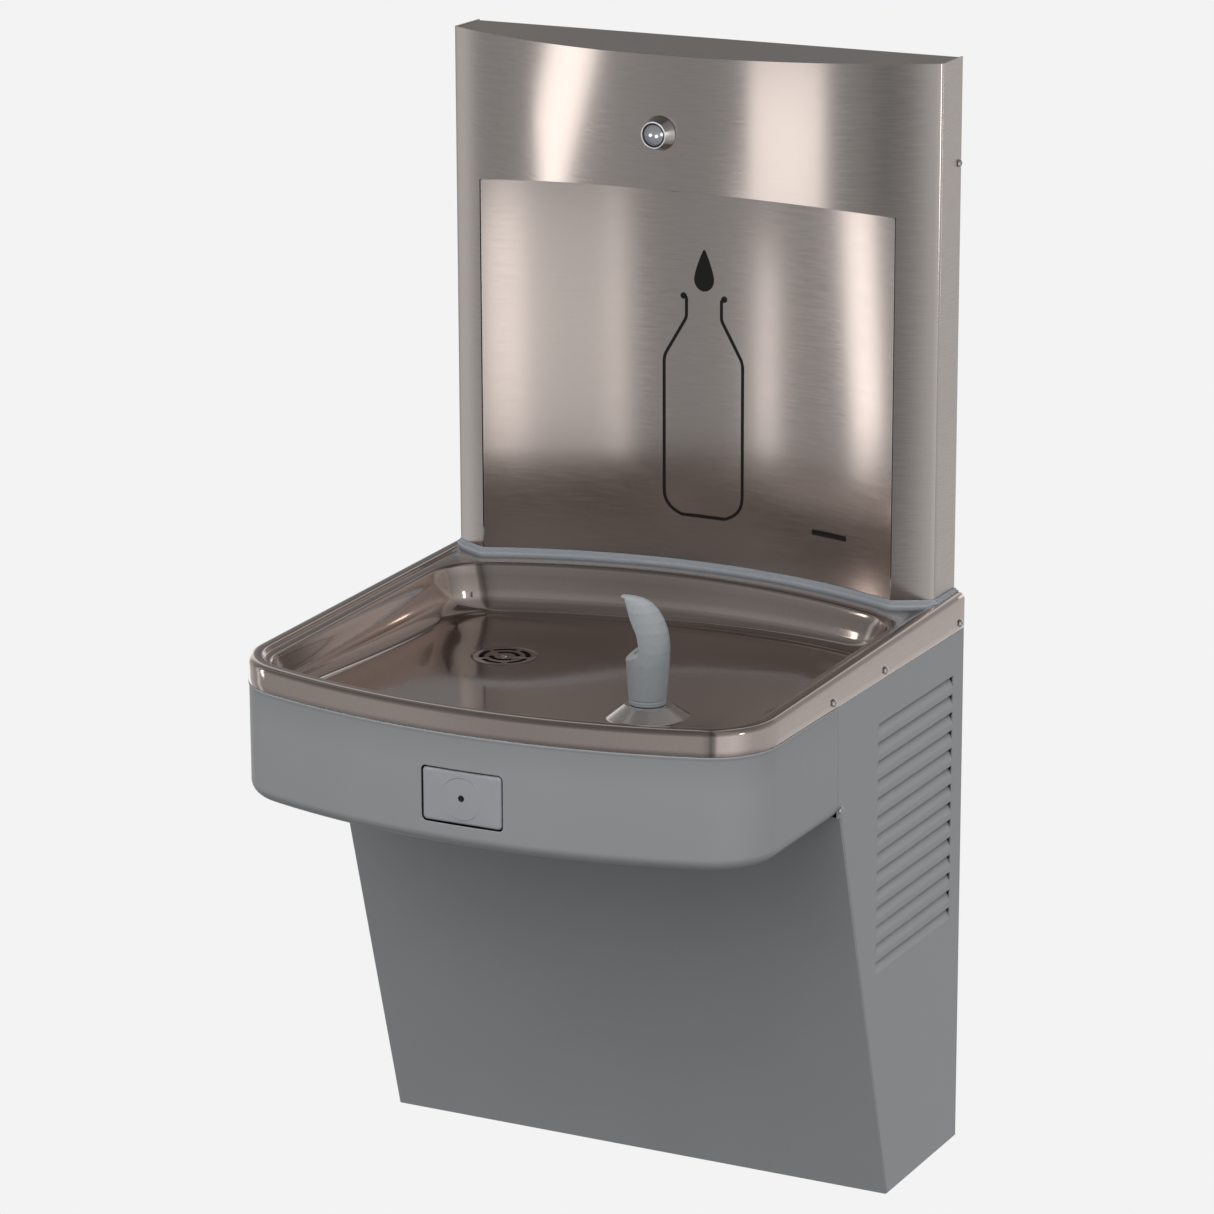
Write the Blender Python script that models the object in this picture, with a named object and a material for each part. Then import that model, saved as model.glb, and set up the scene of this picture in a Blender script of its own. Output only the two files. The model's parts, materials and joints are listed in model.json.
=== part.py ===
"""Wall-hung drinking fountain with a bottle filler above the basin. Metres, +Z up.

The wall is the plane y = 0 and the front faces -Y. The origin is the middle of the
wall hanger, on the wall. A shape is a (vertices, faces) pair until it becomes an object.
"""
import math

import bmesh
import bpy
from mathutils import Matrix, Vector

# Driving dimensions
WIDTH = 0.457
DEPTH = 0.447
RIM_TOP = 0.100            # top of the rim bead, 300 mm out from the wall
RIM_SLOPE = 0.0225         # rise of the basin's top towards the wall
SLOPE_DATUM = 0.300        # where RIM_TOP is measured, out from the wall
SKIRT_BOTTOM = 0.0768
FRONT_RADIUS = 0.620       # the bowed front, seen from above
CORNER_RADIUS = 0.057
BEAD = 0.008               # rolled edge of the rim
SHEET = 0.0015             # thickness of the formed sheets
GAP = 0.0003               # between pieces that touch
WALL_GAP = 0.002           # between the cabinet and the wall

# Bowl
BOWL_HALF = 0.206
BOWL_FRONT = 0.014         # front lip, in from the rim's outline
BOWL_BACK = 0.0435         # back lip at the middle, out from the wall
BOWL_CORNER = 0.040
LIP_DROP = 0.0040          # lip below the bead's top
FLOOR_DEPTH = 0.047        # floor at the drain, below RIM_TOP
FLOOR_SLOPE = 0.050
DRAIN = (-0.101, -0.186)
DRAIN_HOLE = 0.0190
DRAIN_FLAT = 0.0285
BOSS = (0.092, -0.314)
BOSS_TOP = 0.0750
BOSS_FOOT = 0.0595
BOSS_TOP_RADIUS = 0.0185
BOSS_BASE_RADIUS = 0.0330
SHANK_RADIUS = 0.0065

# Cabinet
CABINET_HALF = 0.2273
CABINET_BOTTOM = -0.370
CABINET_BOTTOM_DEPTH = 0.147
APRON_BOTTOM = -0.0156
APRON_ROLL = 0.011
SEAM = 0.2509              # side panel's front edge beside the apron, out from the wall
FRONT_TOP_DEPTH = 0.247    # slanted front panel's top edge, out from the wall
LOUVRE_COUNT = 14
LOUVRE_TOP = 0.0405
LOUVRE_PITCH = 0.0154
LOUVRE_BACK = 0.0230
LOUVRE_FRONT = 0.1735
LOUVRE_SINK = 0.0048
LOUVRE_HEIGHT = 0.0085

# Bottle filler
SHROUD_HALF = 0.219
SHROUD_SIDE_DEPTH = 0.0438
SHROUD_BOW = 0.060
SHROUD_BOTTOM = 0.1096
SHROUD_TOP = 0.548
SEAM_RETURN = 0.0028       # front sheet's return beyond its corner
ALCOVE_HALF = 0.188
ALCOVE_BACK = 0.0213
ALCOVE_RADIUS = 0.4715
ARCH_LOW = 0.4245          # header's lower edge at the alcove's sides
ARCH_RISE = 0.341          # its rise per metre towards the front
CEILING = 0.4435
GASKET_OUT = 0.0038
GASKET_IN = 0.0040
SENSOR_Z = 0.486

# Push pad and its valve
PAD_CENTRE_Z = 0.0255
PAD_WIDTH = 0.0684
PAD_HEIGHT = 0.0423
PAD_GAP = 0.0010
PAD_CORNER = 0.0030
PAD_TRAVEL = 0.004
PAD_DEPTH = 0.008

# Wall hanger
HOOK_X = 0.120
HOOK_WIDTH = 0.030
HANGER_THICK = 0.003
BACK_PANEL_FRONT = 0.0060
BACK_PANEL_REAR = 0.0045

# Plumbing, fan and fasteners
NOZZLE = (0.0, -0.072)
TUBE = (-0.050, -0.0115)
FAN = (-0.0975, -0.0575)   # y and z of the fan's axis
RIM_SCREW_Z = 0.0825
RIM_SCREWS = (0.0115, 0.1630, 0.2620)
SHROUD_SCREW = (-0.0068, 0.4625)
CORNER_SCREW = (-0.2470, -0.0092)

# Finishes: colour, roughness, metallic
STAINLESS = ((0.42, 0.38, 0.35), 0.30, 1.0)
ZINC = ((0.55, 0.55, 0.55), 0.45, 1.0)
CHROME = ((0.75, 0.75, 0.75), 0.12, 1.0)
PAINT = ((0.23, 0.24, 0.25), 0.45, 0.0)
PAD_GREY = ((0.25, 0.26, 0.27), 0.50, 0.0)
GASKET_GREY = ((0.28, 0.31, 0.34), 0.60, 0.0)
BUBBLER_GREY = ((0.25, 0.28, 0.30), 0.55, 0.0)
BLACK = ((0.02, 0.02, 0.02), 0.40, 0.0)
COPPER = ((0.60, 0.32, 0.20), 0.35, 1.0)
BRASS = ((0.60, 0.45, 0.20), 0.35, 1.0)
FOAM = ((0.10, 0.10, 0.11), 0.90, 0.0)
CLEAR = ((0.80, 0.85, 0.88), 0.05, 0.0)
WHITE = ((0.75, 0.75, 0.72), 0.50, 0.0)

SIDES = (("left", -1), ("right", 1))


# ---------------------------------------------------------------- shape helpers

def box(low, high):
    """A block between two corners."""
    outline = [(low[0], low[1]), (high[0], low[1]), (high[0], high[1]), (low[0], high[1])]
    return prism(outline, low[2], high[2])


def prism(outline, low, high, axis="z"):
    """An outline extruded along an axis; it is (x, y), (y, z) or (x, z) for z, x or y."""
    place = {
        "z": lambda p, h: (p[0], p[1], h),
        "x": lambda p, h: (h, p[0], p[1]),
        "y": lambda p, h: (p[0], h, p[1]),
    }[axis]
    count = len(outline)
    vertices = [place(p, low) for p in outline] + [place(p, high) for p in outline]
    faces = [(i, (i + 1) % count, count + (i + 1) % count, count + i) for i in range(count)]
    faces.append(tuple(range(count)))
    faces.append(tuple(range(2 * count - 1, count - 1, -1)))
    return vertices, faces


def loft(rings, closed_rings=True, closed_path=False):
    """Skin a row of rings with equally many points; open ends are capped."""
    count = len(rings[0])
    vertices = [point for ring in rings for point in ring]
    faces = []
    spans = len(rings) if closed_path else len(rings) - 1
    steps = count if closed_rings else count - 1
    for span in range(spans):
        here = span * count
        there = (span + 1) % len(rings) * count
        for i in range(steps):
            j = (i + 1) % count
            faces.append((here + i, here + j, there + j, there + i))
    if not closed_path:
        faces.append(tuple(range(count)))
        faces.append(tuple(range(len(vertices) - count, len(vertices))))
    return vertices, faces


def turned(profile, steps, hollow=False):
    """A (radius, height) profile turned about Z; a hollow one is a closed outline."""
    vertices = []
    rings = []
    for radius, height in profile:
        if radius == 0:
            rings.append([len(vertices)])
            vertices.append((0, 0, height))
            continue
        rings.append(list(range(len(vertices), len(vertices) + steps)))
        for i in range(steps):
            angle = 2 * math.pi * i / steps
            vertices.append((radius * math.cos(angle), radius * math.sin(angle), height))
    faces = []
    pairs = list(zip(rings, rings[1:]))
    if hollow:
        pairs.append((rings[-1], rings[0]))
    for low, high in pairs:
        for i in range(steps):
            corners = (low[i % len(low)], low[(i + 1) % len(low)],
                       high[(i + 1) % len(high)], high[i % len(high)])
            faces.append(tuple(dict.fromkeys(corners)))
    if not hollow:
        faces += [tuple(ring) for ring in (rings[0], rings[-1]) if len(ring) > 1]
    return vertices, faces


def moved(shape, at=(0, 0, 0), facing=(0, 0, 1)):
    """A shape turned so that its +Z looks along facing, then moved."""
    turn = Vector((0, 0, 1)).rotation_difference(Vector(facing)).to_matrix().to_4x4()
    matrix = Matrix.Translation(at) @ turn
    return [tuple(matrix @ Vector(v)) for v in shape[0]], shape[1]


def merged(shapes):
    """Several shapes as one list of vertices and faces."""
    vertices, faces = [], []
    for shape in shapes:
        start = len(vertices)
        vertices += shape[0]
        faces += [tuple(i + start for i in face) for face in shape[1]]
    return vertices, faces


def mirrored(shape):
    """The same shape on the other side of the plane x = 0."""
    return [(-x, y, z) for x, y, z in shape[0]], shape[1]


# ---------------------------------------------------------------- object helpers

def clear_scene():
    for thing in list(bpy.data.objects):
        bpy.data.objects.remove(thing, do_unlink=True)


def material_for(name, finish):
    colour, roughness, metallic = finish
    material = bpy.data.materials.new(name)
    material.use_nodes = True
    shader = material.node_tree.nodes["Principled BSDF"]
    shader.inputs["Base Color"].default_value = (*colour, 1)
    shader.inputs["Roughness"].default_value = roughness
    shader.inputs["Metallic"].default_value = metallic
    return material


def mesh_from(name, shape, origin=(0, 0, 0)):
    mesh = bpy.data.meshes.new(name)
    shifted = [Vector(v) - Vector(origin) for v in shape[0]]
    mesh.from_pydata(shifted, [], shape[1])
    work = bmesh.new()
    work.from_mesh(mesh)
    bmesh.ops.recalc_face_normals(work, faces=work.faces)
    work.to_mesh(mesh)
    work.free()
    return mesh


def piece(name, shape, finish, origin=(0, 0, 0)):
    """One named sub-part with its own material; origin is its joint's centre if it moves."""
    mesh = mesh_from(name, shape, origin)
    mesh.shade_smooth()
    mesh.set_sharp_from_angle(angle=math.radians(35))
    mesh.materials.append(material_for(name, finish))
    thing = bpy.data.objects.new(name, mesh)
    thing.location = origin
    bpy.context.collection.objects.link(thing)
    return thing


def apply_tool(target, name, shape, operation):
    """Cut or join a hidden guide shape with an exact Boolean."""
    tool = bpy.data.objects.new(f"{target.name}_{name}", mesh_from(name, shape))
    tool.hide_render = True
    tool.display_type = "WIRE"
    bpy.context.collection.objects.link(tool)
    boolean = target.modifiers.new(name, "BOOLEAN")
    boolean.object = tool
    boolean.operation = operation
    boolean.solver = "EXACT"


def cut(target, name, shape):
    apply_tool(target, name, shape, "DIFFERENCE")


def join(target, name, shape):
    apply_tool(target, name, shape, "UNION")


def pipe(name, points, radius, finish, sides_resolution=2):
    """A bent pipe along a smooth line through the given points."""
    curve = bpy.data.curves.new(name, "CURVE")
    curve.dimensions = "3D"
    curve.bevel_depth = radius
    curve.bevel_resolution = sides_resolution
    curve.use_fill_caps = True
    spline = curve.splines.new("POLY")
    path = rounded_path([Vector(p) for p in points], 2.2 * radius)
    spline.points.add(len(path) - 1)
    for slot, point in zip(spline.points, path):
        slot.co = (*point, 1)
    curve.materials.append(material_for(name, finish))
    thing = bpy.data.objects.new(name, curve)
    bpy.context.collection.objects.link(thing)
    return thing


def rounded_path(points, reach, steps=4):
    """The points' path with each corner replaced by a smooth bend."""
    path = [points[0]]
    for before, corner, after in zip(points, points[1:], points[2:]):
        start = corner + (before - corner).normalized() * reach
        end = corner + (after - corner).normalized() * reach
        for i in range(steps + 1):
            t = i / steps
            path.append(start * (1 - t) ** 2 + corner * 2 * t * (1 - t) + end * t ** 2)
    path.append(points[-1])
    return path


# ---------------------------------------------------------------- plan outlines

def front_outline(half, depth, front_radius, corner, corner_steps=6, front_steps=14):
    """Corner, bowed front and corner, from the left side to the right, seen from above."""
    centre_y = -depth + front_radius
    corner_x = half - corner
    corner_y = centre_y - math.sqrt((front_radius - corner) ** 2 - corner_x ** 2)
    lean = math.atan2(corner_x, centre_y - corner_y)
    left = []
    for i in range(corner_steps + 1):
        angle = (math.pi / 2 - lean) * i / corner_steps
        left.append((-corner_x - corner * math.cos(angle), corner_y - corner * math.sin(angle)))
    middle = []
    for i in range(1, front_steps):
        angle = lean * (2 * i / front_steps - 1)
        middle.append((front_radius * math.sin(angle), centre_y - front_radius * math.cos(angle)))
    right = [(-x, y) for x, y in reversed(left)]
    return left + middle + right


def rim_outline(inset, back):
    """The rim's plan as an open line from the left back end round to the right one."""
    front = front_outline(WIDTH / 2 - inset, DEPTH - inset, FRONT_RADIUS - inset,
                          CORNER_RADIUS - inset)
    half = WIDTH / 2 - inset
    return [(-half, -back)] + front + [(half, -back)]


def sag(x, radius):
    """How far an arc that touches y = 0 at x = 0 has dropped at x."""
    return radius - math.sqrt(radius ** 2 - x ** 2)


def shroud_radius():
    return (SHROUD_HALF ** 2 + SHROUD_BOW ** 2) / (2 * SHROUD_BOW)


def shroud_front_y(x, offset=0.0):
    """The bowed front of the shroud, moved outwards by offset."""
    radius = shroud_radius()
    centre = -SHROUD_SIDE_DEPTH - SHROUD_BOW + radius
    return centre - math.sqrt((radius + offset) ** 2 - x ** 2)


def alcove_y(x, offset=0.0):
    """The hollow back of the alcove, moved towards the front by offset."""
    centre = -ALCOVE_BACK - ALCOVE_RADIUS
    return centre + math.sqrt((ALCOVE_RADIUS - offset) ** 2 - x ** 2)


def meeting_x(front_offset, alcove_offset):
    """Where the bowed front and the hollow back of the shroud meet."""
    low, high = 0.15, 0.21
    for _ in range(40):
        middle = (low + high) / 2
        if alcove_y(middle, alcove_offset) > shroud_front_y(middle, front_offset):
            low = middle
        else:
            high = middle
    return low


def spread(low, high, steps):
    return [low + (high - low) * i / steps for i in range(steps + 1)]


# ---------------------------------------------------------------- basin

def top_height(y):
    """The sloping plane that the bead's top lies in."""
    return RIM_TOP + RIM_SLOPE * (y + SLOPE_DATUM)


def basin_ring(half, depth, front_radius, corner, back_y, back_corner, side_z, back_z):
    """A closed ring of the basin: sides, bowed front, and back line from right to left.

    back_y gives the back line's y at an x; side_z and back_z give the heights at a y.
    """
    ring = []
    corner_start = back_y(half) - back_corner
    front = front_outline(half, depth, front_radius, corner)
    side_ys = spread(corner_start, front[0][1], 4)[:-1]
    for y in side_ys:
        ring.append((-half, y, side_z(y)))
    for x, y in front:
        ring.append((x, y, side_z(y)))
    for y in reversed(side_ys):
        ring.append((half, y, side_z(y)))
    corner_x = half - back_corner
    bend = []
    for i in range(1, 5):
        t = i / 4
        x = half * ((1 - t) ** 2 + 2 * t * (1 - t)) + corner_x * t ** 2
        y = corner_start * (1 - t) ** 2 + back_y(half) * 2 * t * (1 - t) + back_y(corner_x) * t ** 2
        bend.append((x, y, side_z(y) * (1 - t) + back_z(y) * t))
    ring += bend
    for x in spread(corner_x, -corner_x, 14)[1:-1]:
        ring.append((x, back_y(x), back_z(back_y(x))))
    ring += [(-x, y, z) for x, y, z in reversed(bend)]
    return ring


def rim_ring(inset, drop, back_step, thick=0.0):
    """A ring of the skirt and bead: drop below the bead's top, flat deck height behind."""
    back = -WALL_GAP - thick - back_step
    return basin_ring(
        WIDTH / 2 - inset, DEPTH - inset, FRONT_RADIUS - inset, CORNER_RADIUS - inset,
        lambda x: back, 0.0005,
        lambda y: top_height(y) - drop,
        lambda y: top_height(y) - LIP_DROP - thick - back_step / 10,
    )


def skirt_ring(inset, height):
    back = -WALL_GAP - inset
    return basin_ring(
        WIDTH / 2 - inset, DEPTH - inset, FRONT_RADIUS - inset, CORNER_RADIUS - inset,
        lambda x: back, 0.0005, lambda y: height, lambda y: height,
    )


def bowl_ring(inset, height):
    """A ring of the bowl, inset from its lip; height is a function of x and y."""
    ring = basin_ring(
        BOWL_HALF - inset, DEPTH - BOWL_FRONT - inset, FRONT_RADIUS - BOWL_FRONT - inset,
        max(BOWL_CORNER - inset, 0.012),
        lambda x: -BOWL_BACK - inset - sag(x, ALCOVE_RADIUS), 0.030,
        lambda y: 0.0, lambda y: 0.0,
    )
    return [(x, y, height(x, y)) for x, y, _ in ring]


def floor_height(x, y):
    away = max(math.hypot(x - DRAIN[0], y - DRAIN[1]) - DRAIN_FLAT, 0.0)
    return RIM_TOP - FLOOR_DEPTH + FLOOR_SLOPE * away


def drain_ring(radius, height, around):
    """A circle about the drain with its points in line with those of another ring."""
    ring = []
    for x, y, _ in around:
        angle = math.atan2(y - DRAIN[1], x - DRAIN[0])
        ring.append((DRAIN[0] + radius * math.cos(angle), DRAIN[1] + radius * math.sin(angle),
                     height))
    return ring


def bowl_rings(thick):
    """Rings from the bowl's lip down to the drain hole, lowered by thick."""
    side = thick * 0.8
    lip = bowl_ring(-side, lambda x, y: top_height(y) - LIP_DROP - thick)
    edge = bowl_ring(0.0025 - side, lambda x, y: top_height(y) - LIP_DROP - 0.003 - thick)
    wall = bowl_ring(0.010 - side, lambda x, y: floor_height(x, y) + 0.012 - thick)
    fillet = bowl_ring(0.0135 - side, lambda x, y: floor_height(x, y) + 0.005 - thick)
    rim = bowl_ring(0.021, lambda x, y: floor_height(x, y) - thick)
    middle = []
    for near, far in zip(drain_ring(DRAIN_FLAT, 0, rim), rim):
        x = (near[0] + far[0]) / 2
        y = (near[1] + far[1]) / 2
        middle.append((x, y, floor_height(x, y) - thick))
    low = RIM_TOP - FLOOR_DEPTH - thick
    return [lip, edge, wall, fillet, rim, middle,
            drain_ring(DRAIN_FLAT, low, rim), drain_ring(DRAIN_HOLE, low, rim)]


def bead_rings(thick):
    """Rings from the skirt over the rolled bead to the crease of the deck."""
    rings = []
    for index, degrees in enumerate((0, 30, 60, 90)):
        angle = math.radians(degrees)
        roll = BEAD - thick
        inset = BEAD - roll * math.cos(angle)
        rings.append(rim_ring(inset, BEAD - roll * math.sin(angle), 0.0004 * index, thick))
    rings.append(rim_ring(0.0105, 0.0012 + thick, 0.0020, thick))
    rings.append(rim_ring(0.0125, LIP_DROP - 0.0005 + thick, 0.0030, thick))
    return rings


def basin_top():
    over = [skirt_ring(0.0, SKIRT_BOTTOM)] + bead_rings(0.0) + bowl_rings(0.0)
    under = [skirt_ring(SHEET, SKIRT_BOTTOM)] + bead_rings(SHEET) + bowl_rings(SHEET)
    basin = piece("basin_top", loft(over + under[::-1], closed_path=True), STAINLESS)
    boss = turned([(BOSS_BASE_RADIUS, BOSS_FOOT), (BOSS_BASE_RADIUS, BOSS_FOOT + 0.003),
                   (BOSS_TOP_RADIUS, BOSS_TOP)], 28)
    join(basin, "boss", moved(boss, (*BOSS, 0)))
    shank = turned([(SHANK_RADIUS + GAP, 0.04), (SHANK_RADIUS + GAP, 0.09)], 16)
    cut(basin, "shank_hole", moved(shank, (*BOSS, 0)))
    tube = turned([(0.0041, 0.08), (0.0041, 0.13)], 14)
    cut(basin, "tube_hole", moved(tube, (*TUBE, 0)))
    cut(basin, "screw_holes", merged(rim_screw_shanks(0.0004)))


def drain():
    low = RIM_TOP - FLOOR_DEPTH
    strainer = piece("drain_strainer", moved(turned(
        [(0, 0), (0.0250, 0), (0.0256, 0.0006), (0.0250, 0.0014), (0, 0.0014)], 32),
        (*DRAIN, low + GAP)), STAINLESS)
    slots = []
    for radius, count, fill in ((0.0195, 5, 0.84), (0.0115, 3, 0.62)):
        for i in range(count):
            start = 2 * math.pi * i / count
            slots.append(arc_slot(radius, 0.0032, start, 2 * math.pi / count * fill))
    cut(strainer, "slots", moved(merged(slots), (*DRAIN, low)))
    under = low - SHEET - GAP
    piece("drain_body", moved(turned(
        [(0.0172, 0.0012), (0.0152, 0.0012), (0.0152, -0.048), (0.0172, -0.048)],
        20, hollow=True), (*DRAIN, low - 0.0015)), CHROME)
    lock_nut("drain_locknut", 0.0280, 0.006, 0.0176, (*DRAIN, under))
    pipe("waste_tube", [(*DRAIN, low - 0.050), (*DRAIN, -0.170), (DRAIN[0], -0.008, -0.170)],
         0.0160, WHITE, 3)


def lock_nut(name, radius, thick, bore, top):
    """A hexagonal nut below a point, with a round bore."""
    hexagon = [(radius * math.cos(math.pi * i / 3), radius * math.sin(math.pi * i / 3))
               for i in range(6)]
    nut = piece(name, moved(prism(hexagon, -thick, 0), top), BRASS)
    cut(nut, "bore", moved(turned([(bore, -0.02), (bore, 0.02)], 20), top))


def arc_slot(radius, width, start, sweep, steps=5):
    outer, inner = [], []
    for angle in spread(start, start + sweep, steps):
        for line, r in ((outer, radius + width / 2), (inner, radius - width / 2)):
            line.append((r * math.cos(angle), r * math.sin(angle)))
    return prism(outer + inner[::-1], -0.002, 0.006)


def bubbler():
    """A moulded mouthguard: round foot, notch with the orifice, hood leaning to the left."""
    sections = [  # height, left side, right side, half depth
        (0.000, -0.0146, 0.0146, 0.0146), (0.004, -0.0149, 0.0149, 0.0149),
        (0.0365, -0.0172, 0.0172, 0.0165), (0.0375, -0.0166, 0.0173, 0.0165),
        (0.0465, -0.0075, 0.0176, 0.0160), (0.0540, -0.0082, 0.0172, 0.0155),
        (0.0630, -0.0105, 0.0158, 0.0146), (0.0720, -0.0142, 0.0128, 0.0130),
        (0.0800, -0.0172, 0.0085, 0.0110), (0.0860, -0.0192, 0.0040, 0.0085),
        (0.0905, -0.0203, -0.0040, 0.0055),
    ]
    rings = []
    for height, left, right, depth in sections:
        ring = []
        for i in range(16):
            angle = 2 * math.pi * i / 16
            x = (left + right) / 2 + (right - left) / 2 * math.cos(angle)
            ring.append((x, depth * math.sin(angle), height))
        rings.append(ring)
    body = piece("bubbler", moved(loft(rings), (*BOSS, BOSS_TOP + GAP)), BUBBLER_GREY)
    shank = turned([(SHANK_RADIUS, -0.040), (SHANK_RADIUS, 0.003)], 16)
    join(body, "shank", moved(shank, (*BOSS, BOSS_TOP + GAP)))
    orifice = turned([(0.0017, -0.012), (0.0017, 0.010)], 10)
    spout = (BOSS[0] - 0.0115, BOSS[1], BOSS_TOP + 0.0425)
    cut(body, "orifice", moved(orifice, spout, (-0.64, 0, 0.77)))
    lock_nut("bubbler_locknut", 0.0125, 0.006, 0.0069, (*BOSS, BOSS_FOOT - GAP))
    pipe("bubbler_tube", [(*BOSS, BOSS_TOP - 0.0402), (*BOSS, 0.006), (BOSS[0], -0.395, 0.006),
                          (0.055, -0.405, PAD_CENTRE_Z), (0.0123, -0.405, PAD_CENTRE_Z)],
         0.0040, WHITE)


# ---------------------------------------------------------------- cabinet

def front_panel_y(height):
    """The slanted front panel's outer face at a height."""
    along = (height - CABINET_BOTTOM) / (APRON_BOTTOM - CABINET_BOTTOM)
    return -(CABINET_BOTTOM_DEPTH + (FRONT_TOP_DEPTH - CABINET_BOTTOM_DEPTH) * along)


def side_panel(name, side):
    inner = 0.0019
    edge_top = APRON_BOTTOM - 0.0004
    outline = [
        (-WALL_GAP, CABINET_BOTTOM), (front_panel_y(CABINET_BOTTOM) + inner, CABINET_BOTTOM),
        (front_panel_y(edge_top) + inner, edge_top), (-SEAM, APRON_BOTTOM),
        (-SEAM, SKIRT_BOTTOM - GAP), (-WALL_GAP, SKIRT_BOTTOM - GAP),
    ]
    sheet = prism(outline, CABINET_HALF - SHEET, CABINET_HALF, "x")
    tongue = box((CABINET_HALF - 0.0024, -SEAM + 0.012, SKIRT_BOTTOM - 0.012),
                 (CABINET_HALF - 0.0009, -0.008, SKIRT_BOTTOM + 0.0095))
    windows, blades = [], []
    for i in range(LOUVRE_COUNT):
        top = LOUVRE_TOP - i * LOUVRE_PITCH
        windows.append(box((CABINET_HALF - 0.004, -LOUVRE_FRONT, top - LOUVRE_HEIGHT),
                           (CABINET_HALF + 0.004, -LOUVRE_BACK, top)))
        foot = top - LOUVRE_HEIGHT - 0.0006
        rim = top - 0.0022
        blade = [(CABINET_HALF, foot), (CABINET_HALF - 0.0022, top - 0.0048),
                 (CABINET_HALF - LOUVRE_SINK, rim), (CABINET_HALF - LOUVRE_SINK - 0.0010, rim),
                 (CABINET_HALF - 0.0034, top - 0.0052), (CABINET_HALF - 0.0010, foot - 0.0006)]
        blades.append(prism(blade, -LOUVRE_FRONT - 0.0008, -LOUVRE_BACK + 0.0008, "y"))
    shapes = [tongue, merged(windows), merged(blades), merged(side_panel_holes())]
    if side < 0:
        sheet = mirrored(sheet)
        shapes = [mirrored(shape) for shape in shapes]
    panel = piece(name, sheet, PAINT)
    join(panel, "tongue", shapes[0])
    cut(panel, "windows", shapes[1])
    join(panel, "blades", shapes[2])
    cut(panel, "screw_holes", shapes[3])


def back_panel():
    panel = piece("back_panel", box(
        (-CABINET_HALF + SHEET + 0.0006, -BACK_PANEL_FRONT, CABINET_BOTTOM + 0.002),
        (CABINET_HALF - SHEET - 0.0006, -BACK_PANEL_REAR, SKIRT_BOTTOM - 0.002)), ZINC)
    slots = []
    for side in (-1, 1):
        x = side * HOOK_X
        slots.append(box((x - 0.018, -0.010, -0.013), (x + 0.018, 0.0, 0.0068)))
    slots.append(moved(turned([(0.020, -0.01), (0.020, 0.01)], 20),
                       (DRAIN[0], -0.005, -0.170), (0, 1, 0)))
    slots.append(moved(turned([(0.008, -0.01), (0.008, 0.01)], 12),
                       (0.170, -0.005, -0.230), (0, 1, 0)))
    cut(panel, "slots", merged(slots))


def wall_hanger():
    hanger = piece("wall_hanger", box((-0.165, -HANGER_THICK, -0.026), (0.165, 0, 0.026)), ZINC)
    hooks = []
    for side in (-1, 1):
        x = side * HOOK_X
        hook = [(-0.0015, 0.0040), (-0.0105, 0.0040), (-0.0105, 0.0200),
                (-0.0080, 0.0200), (-0.0080, 0.0065), (-0.0015, 0.0065)]
        hooks.append(prism(hook, x - HOOK_WIDTH / 2, x + HOOK_WIDTH / 2, "x"))
    join(hanger, "hooks", merged(hooks))
    holes = []
    for x in (-0.150, -0.060, 0.060, 0.150):
        holes.append(moved(turned([(0.0035, -0.01), (0.0035, 0.01)], 12),
                           (x, -0.001, -0.014), (0, 1, 0)))
    cut(hanger, "screw_holes", merged(holes))


def lower_front_panel():
    top = APRON_BOTTOM - 0.0004
    outline = [
        (front_panel_y(CABINET_BOTTOM), CABINET_BOTTOM), (front_panel_y(top), top),
        (front_panel_y(top) + 0.0016, top), (front_panel_y(CABINET_BOTTOM) + 0.0016,
                                             CABINET_BOTTOM),
    ]
    piece("lower_front_panel", prism(outline, -CABINET_HALF, CABINET_HALF, "x"), PAINT)


def bottom_pan():
    half = CABINET_HALF - SHEET - GAP
    pan = piece("bottom_pan", box((-half, -CABINET_BOTTOM_DEPTH + 0.0034, CABINET_BOTTOM),
                                  (half, -WALL_GAP, CABINET_BOTTOM + SHEET)), ZINC)
    vents = [box((-0.12 + 0.03 * i, -0.11, CABINET_BOTTOM - 0.01),
                 (-0.112 + 0.03 * i, -0.05, CABINET_BOTTOM + 0.01)) for i in range(9)]
    cut(pan, "vents", merged(vents))


def apron_section(inset):
    """Insets and heights of one face of the apron, from its top edge to its inner flange."""
    outer = WIDTH / 2 - CABINET_HALF
    roll = APRON_ROLL - inset
    centre = APRON_BOTTOM + APRON_ROLL
    section = [(outer + inset, SKIRT_BOTTOM - GAP)]
    for degrees in (0, 22.5, 45, 67.5, 90):
        angle = math.radians(degrees)
        section.append((outer + APRON_ROLL - roll * math.cos(angle),
                        centre - roll * math.sin(angle)))
    section.append((outer + 0.030, APRON_BOTTOM + inset))
    return section


def front_apron():
    """A sheet wrapped round the front and rolled under, with a window for the push pad."""
    section = apron_section(0.0) + apron_section(SHEET)[::-1]
    lines = [rim_outline(inset, SEAM + GAP) for inset, _ in section]
    rings = []
    for i in range(len(lines[0])):
        rings.append([(*line[i], height) for line, (_, height) in zip(lines, section)])
    apron = piece("front_apron", loft(rings), PAINT)
    width = PAD_WIDTH / 2 + PAD_GAP
    height = PAD_HEIGHT / 2 + PAD_GAP
    window = rounded_rectangle(width, height, PAD_CORNER + PAD_GAP, PAD_CENTRE_Z)
    cut(apron, "pad_window", prism(window, -DEPTH - 0.01, -DEPTH + 0.02, "y"))


def apron_floor():
    line = rim_outline(0.016, FRONT_TOP_DEPTH - 0.004)
    low = APRON_BOTTOM + SHEET + GAP
    line = [(max(-0.2245, min(0.2245, x)), y) for x, y in line]
    piece("apron_floor", prism(line, low, low + SHEET), PAINT)


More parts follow.
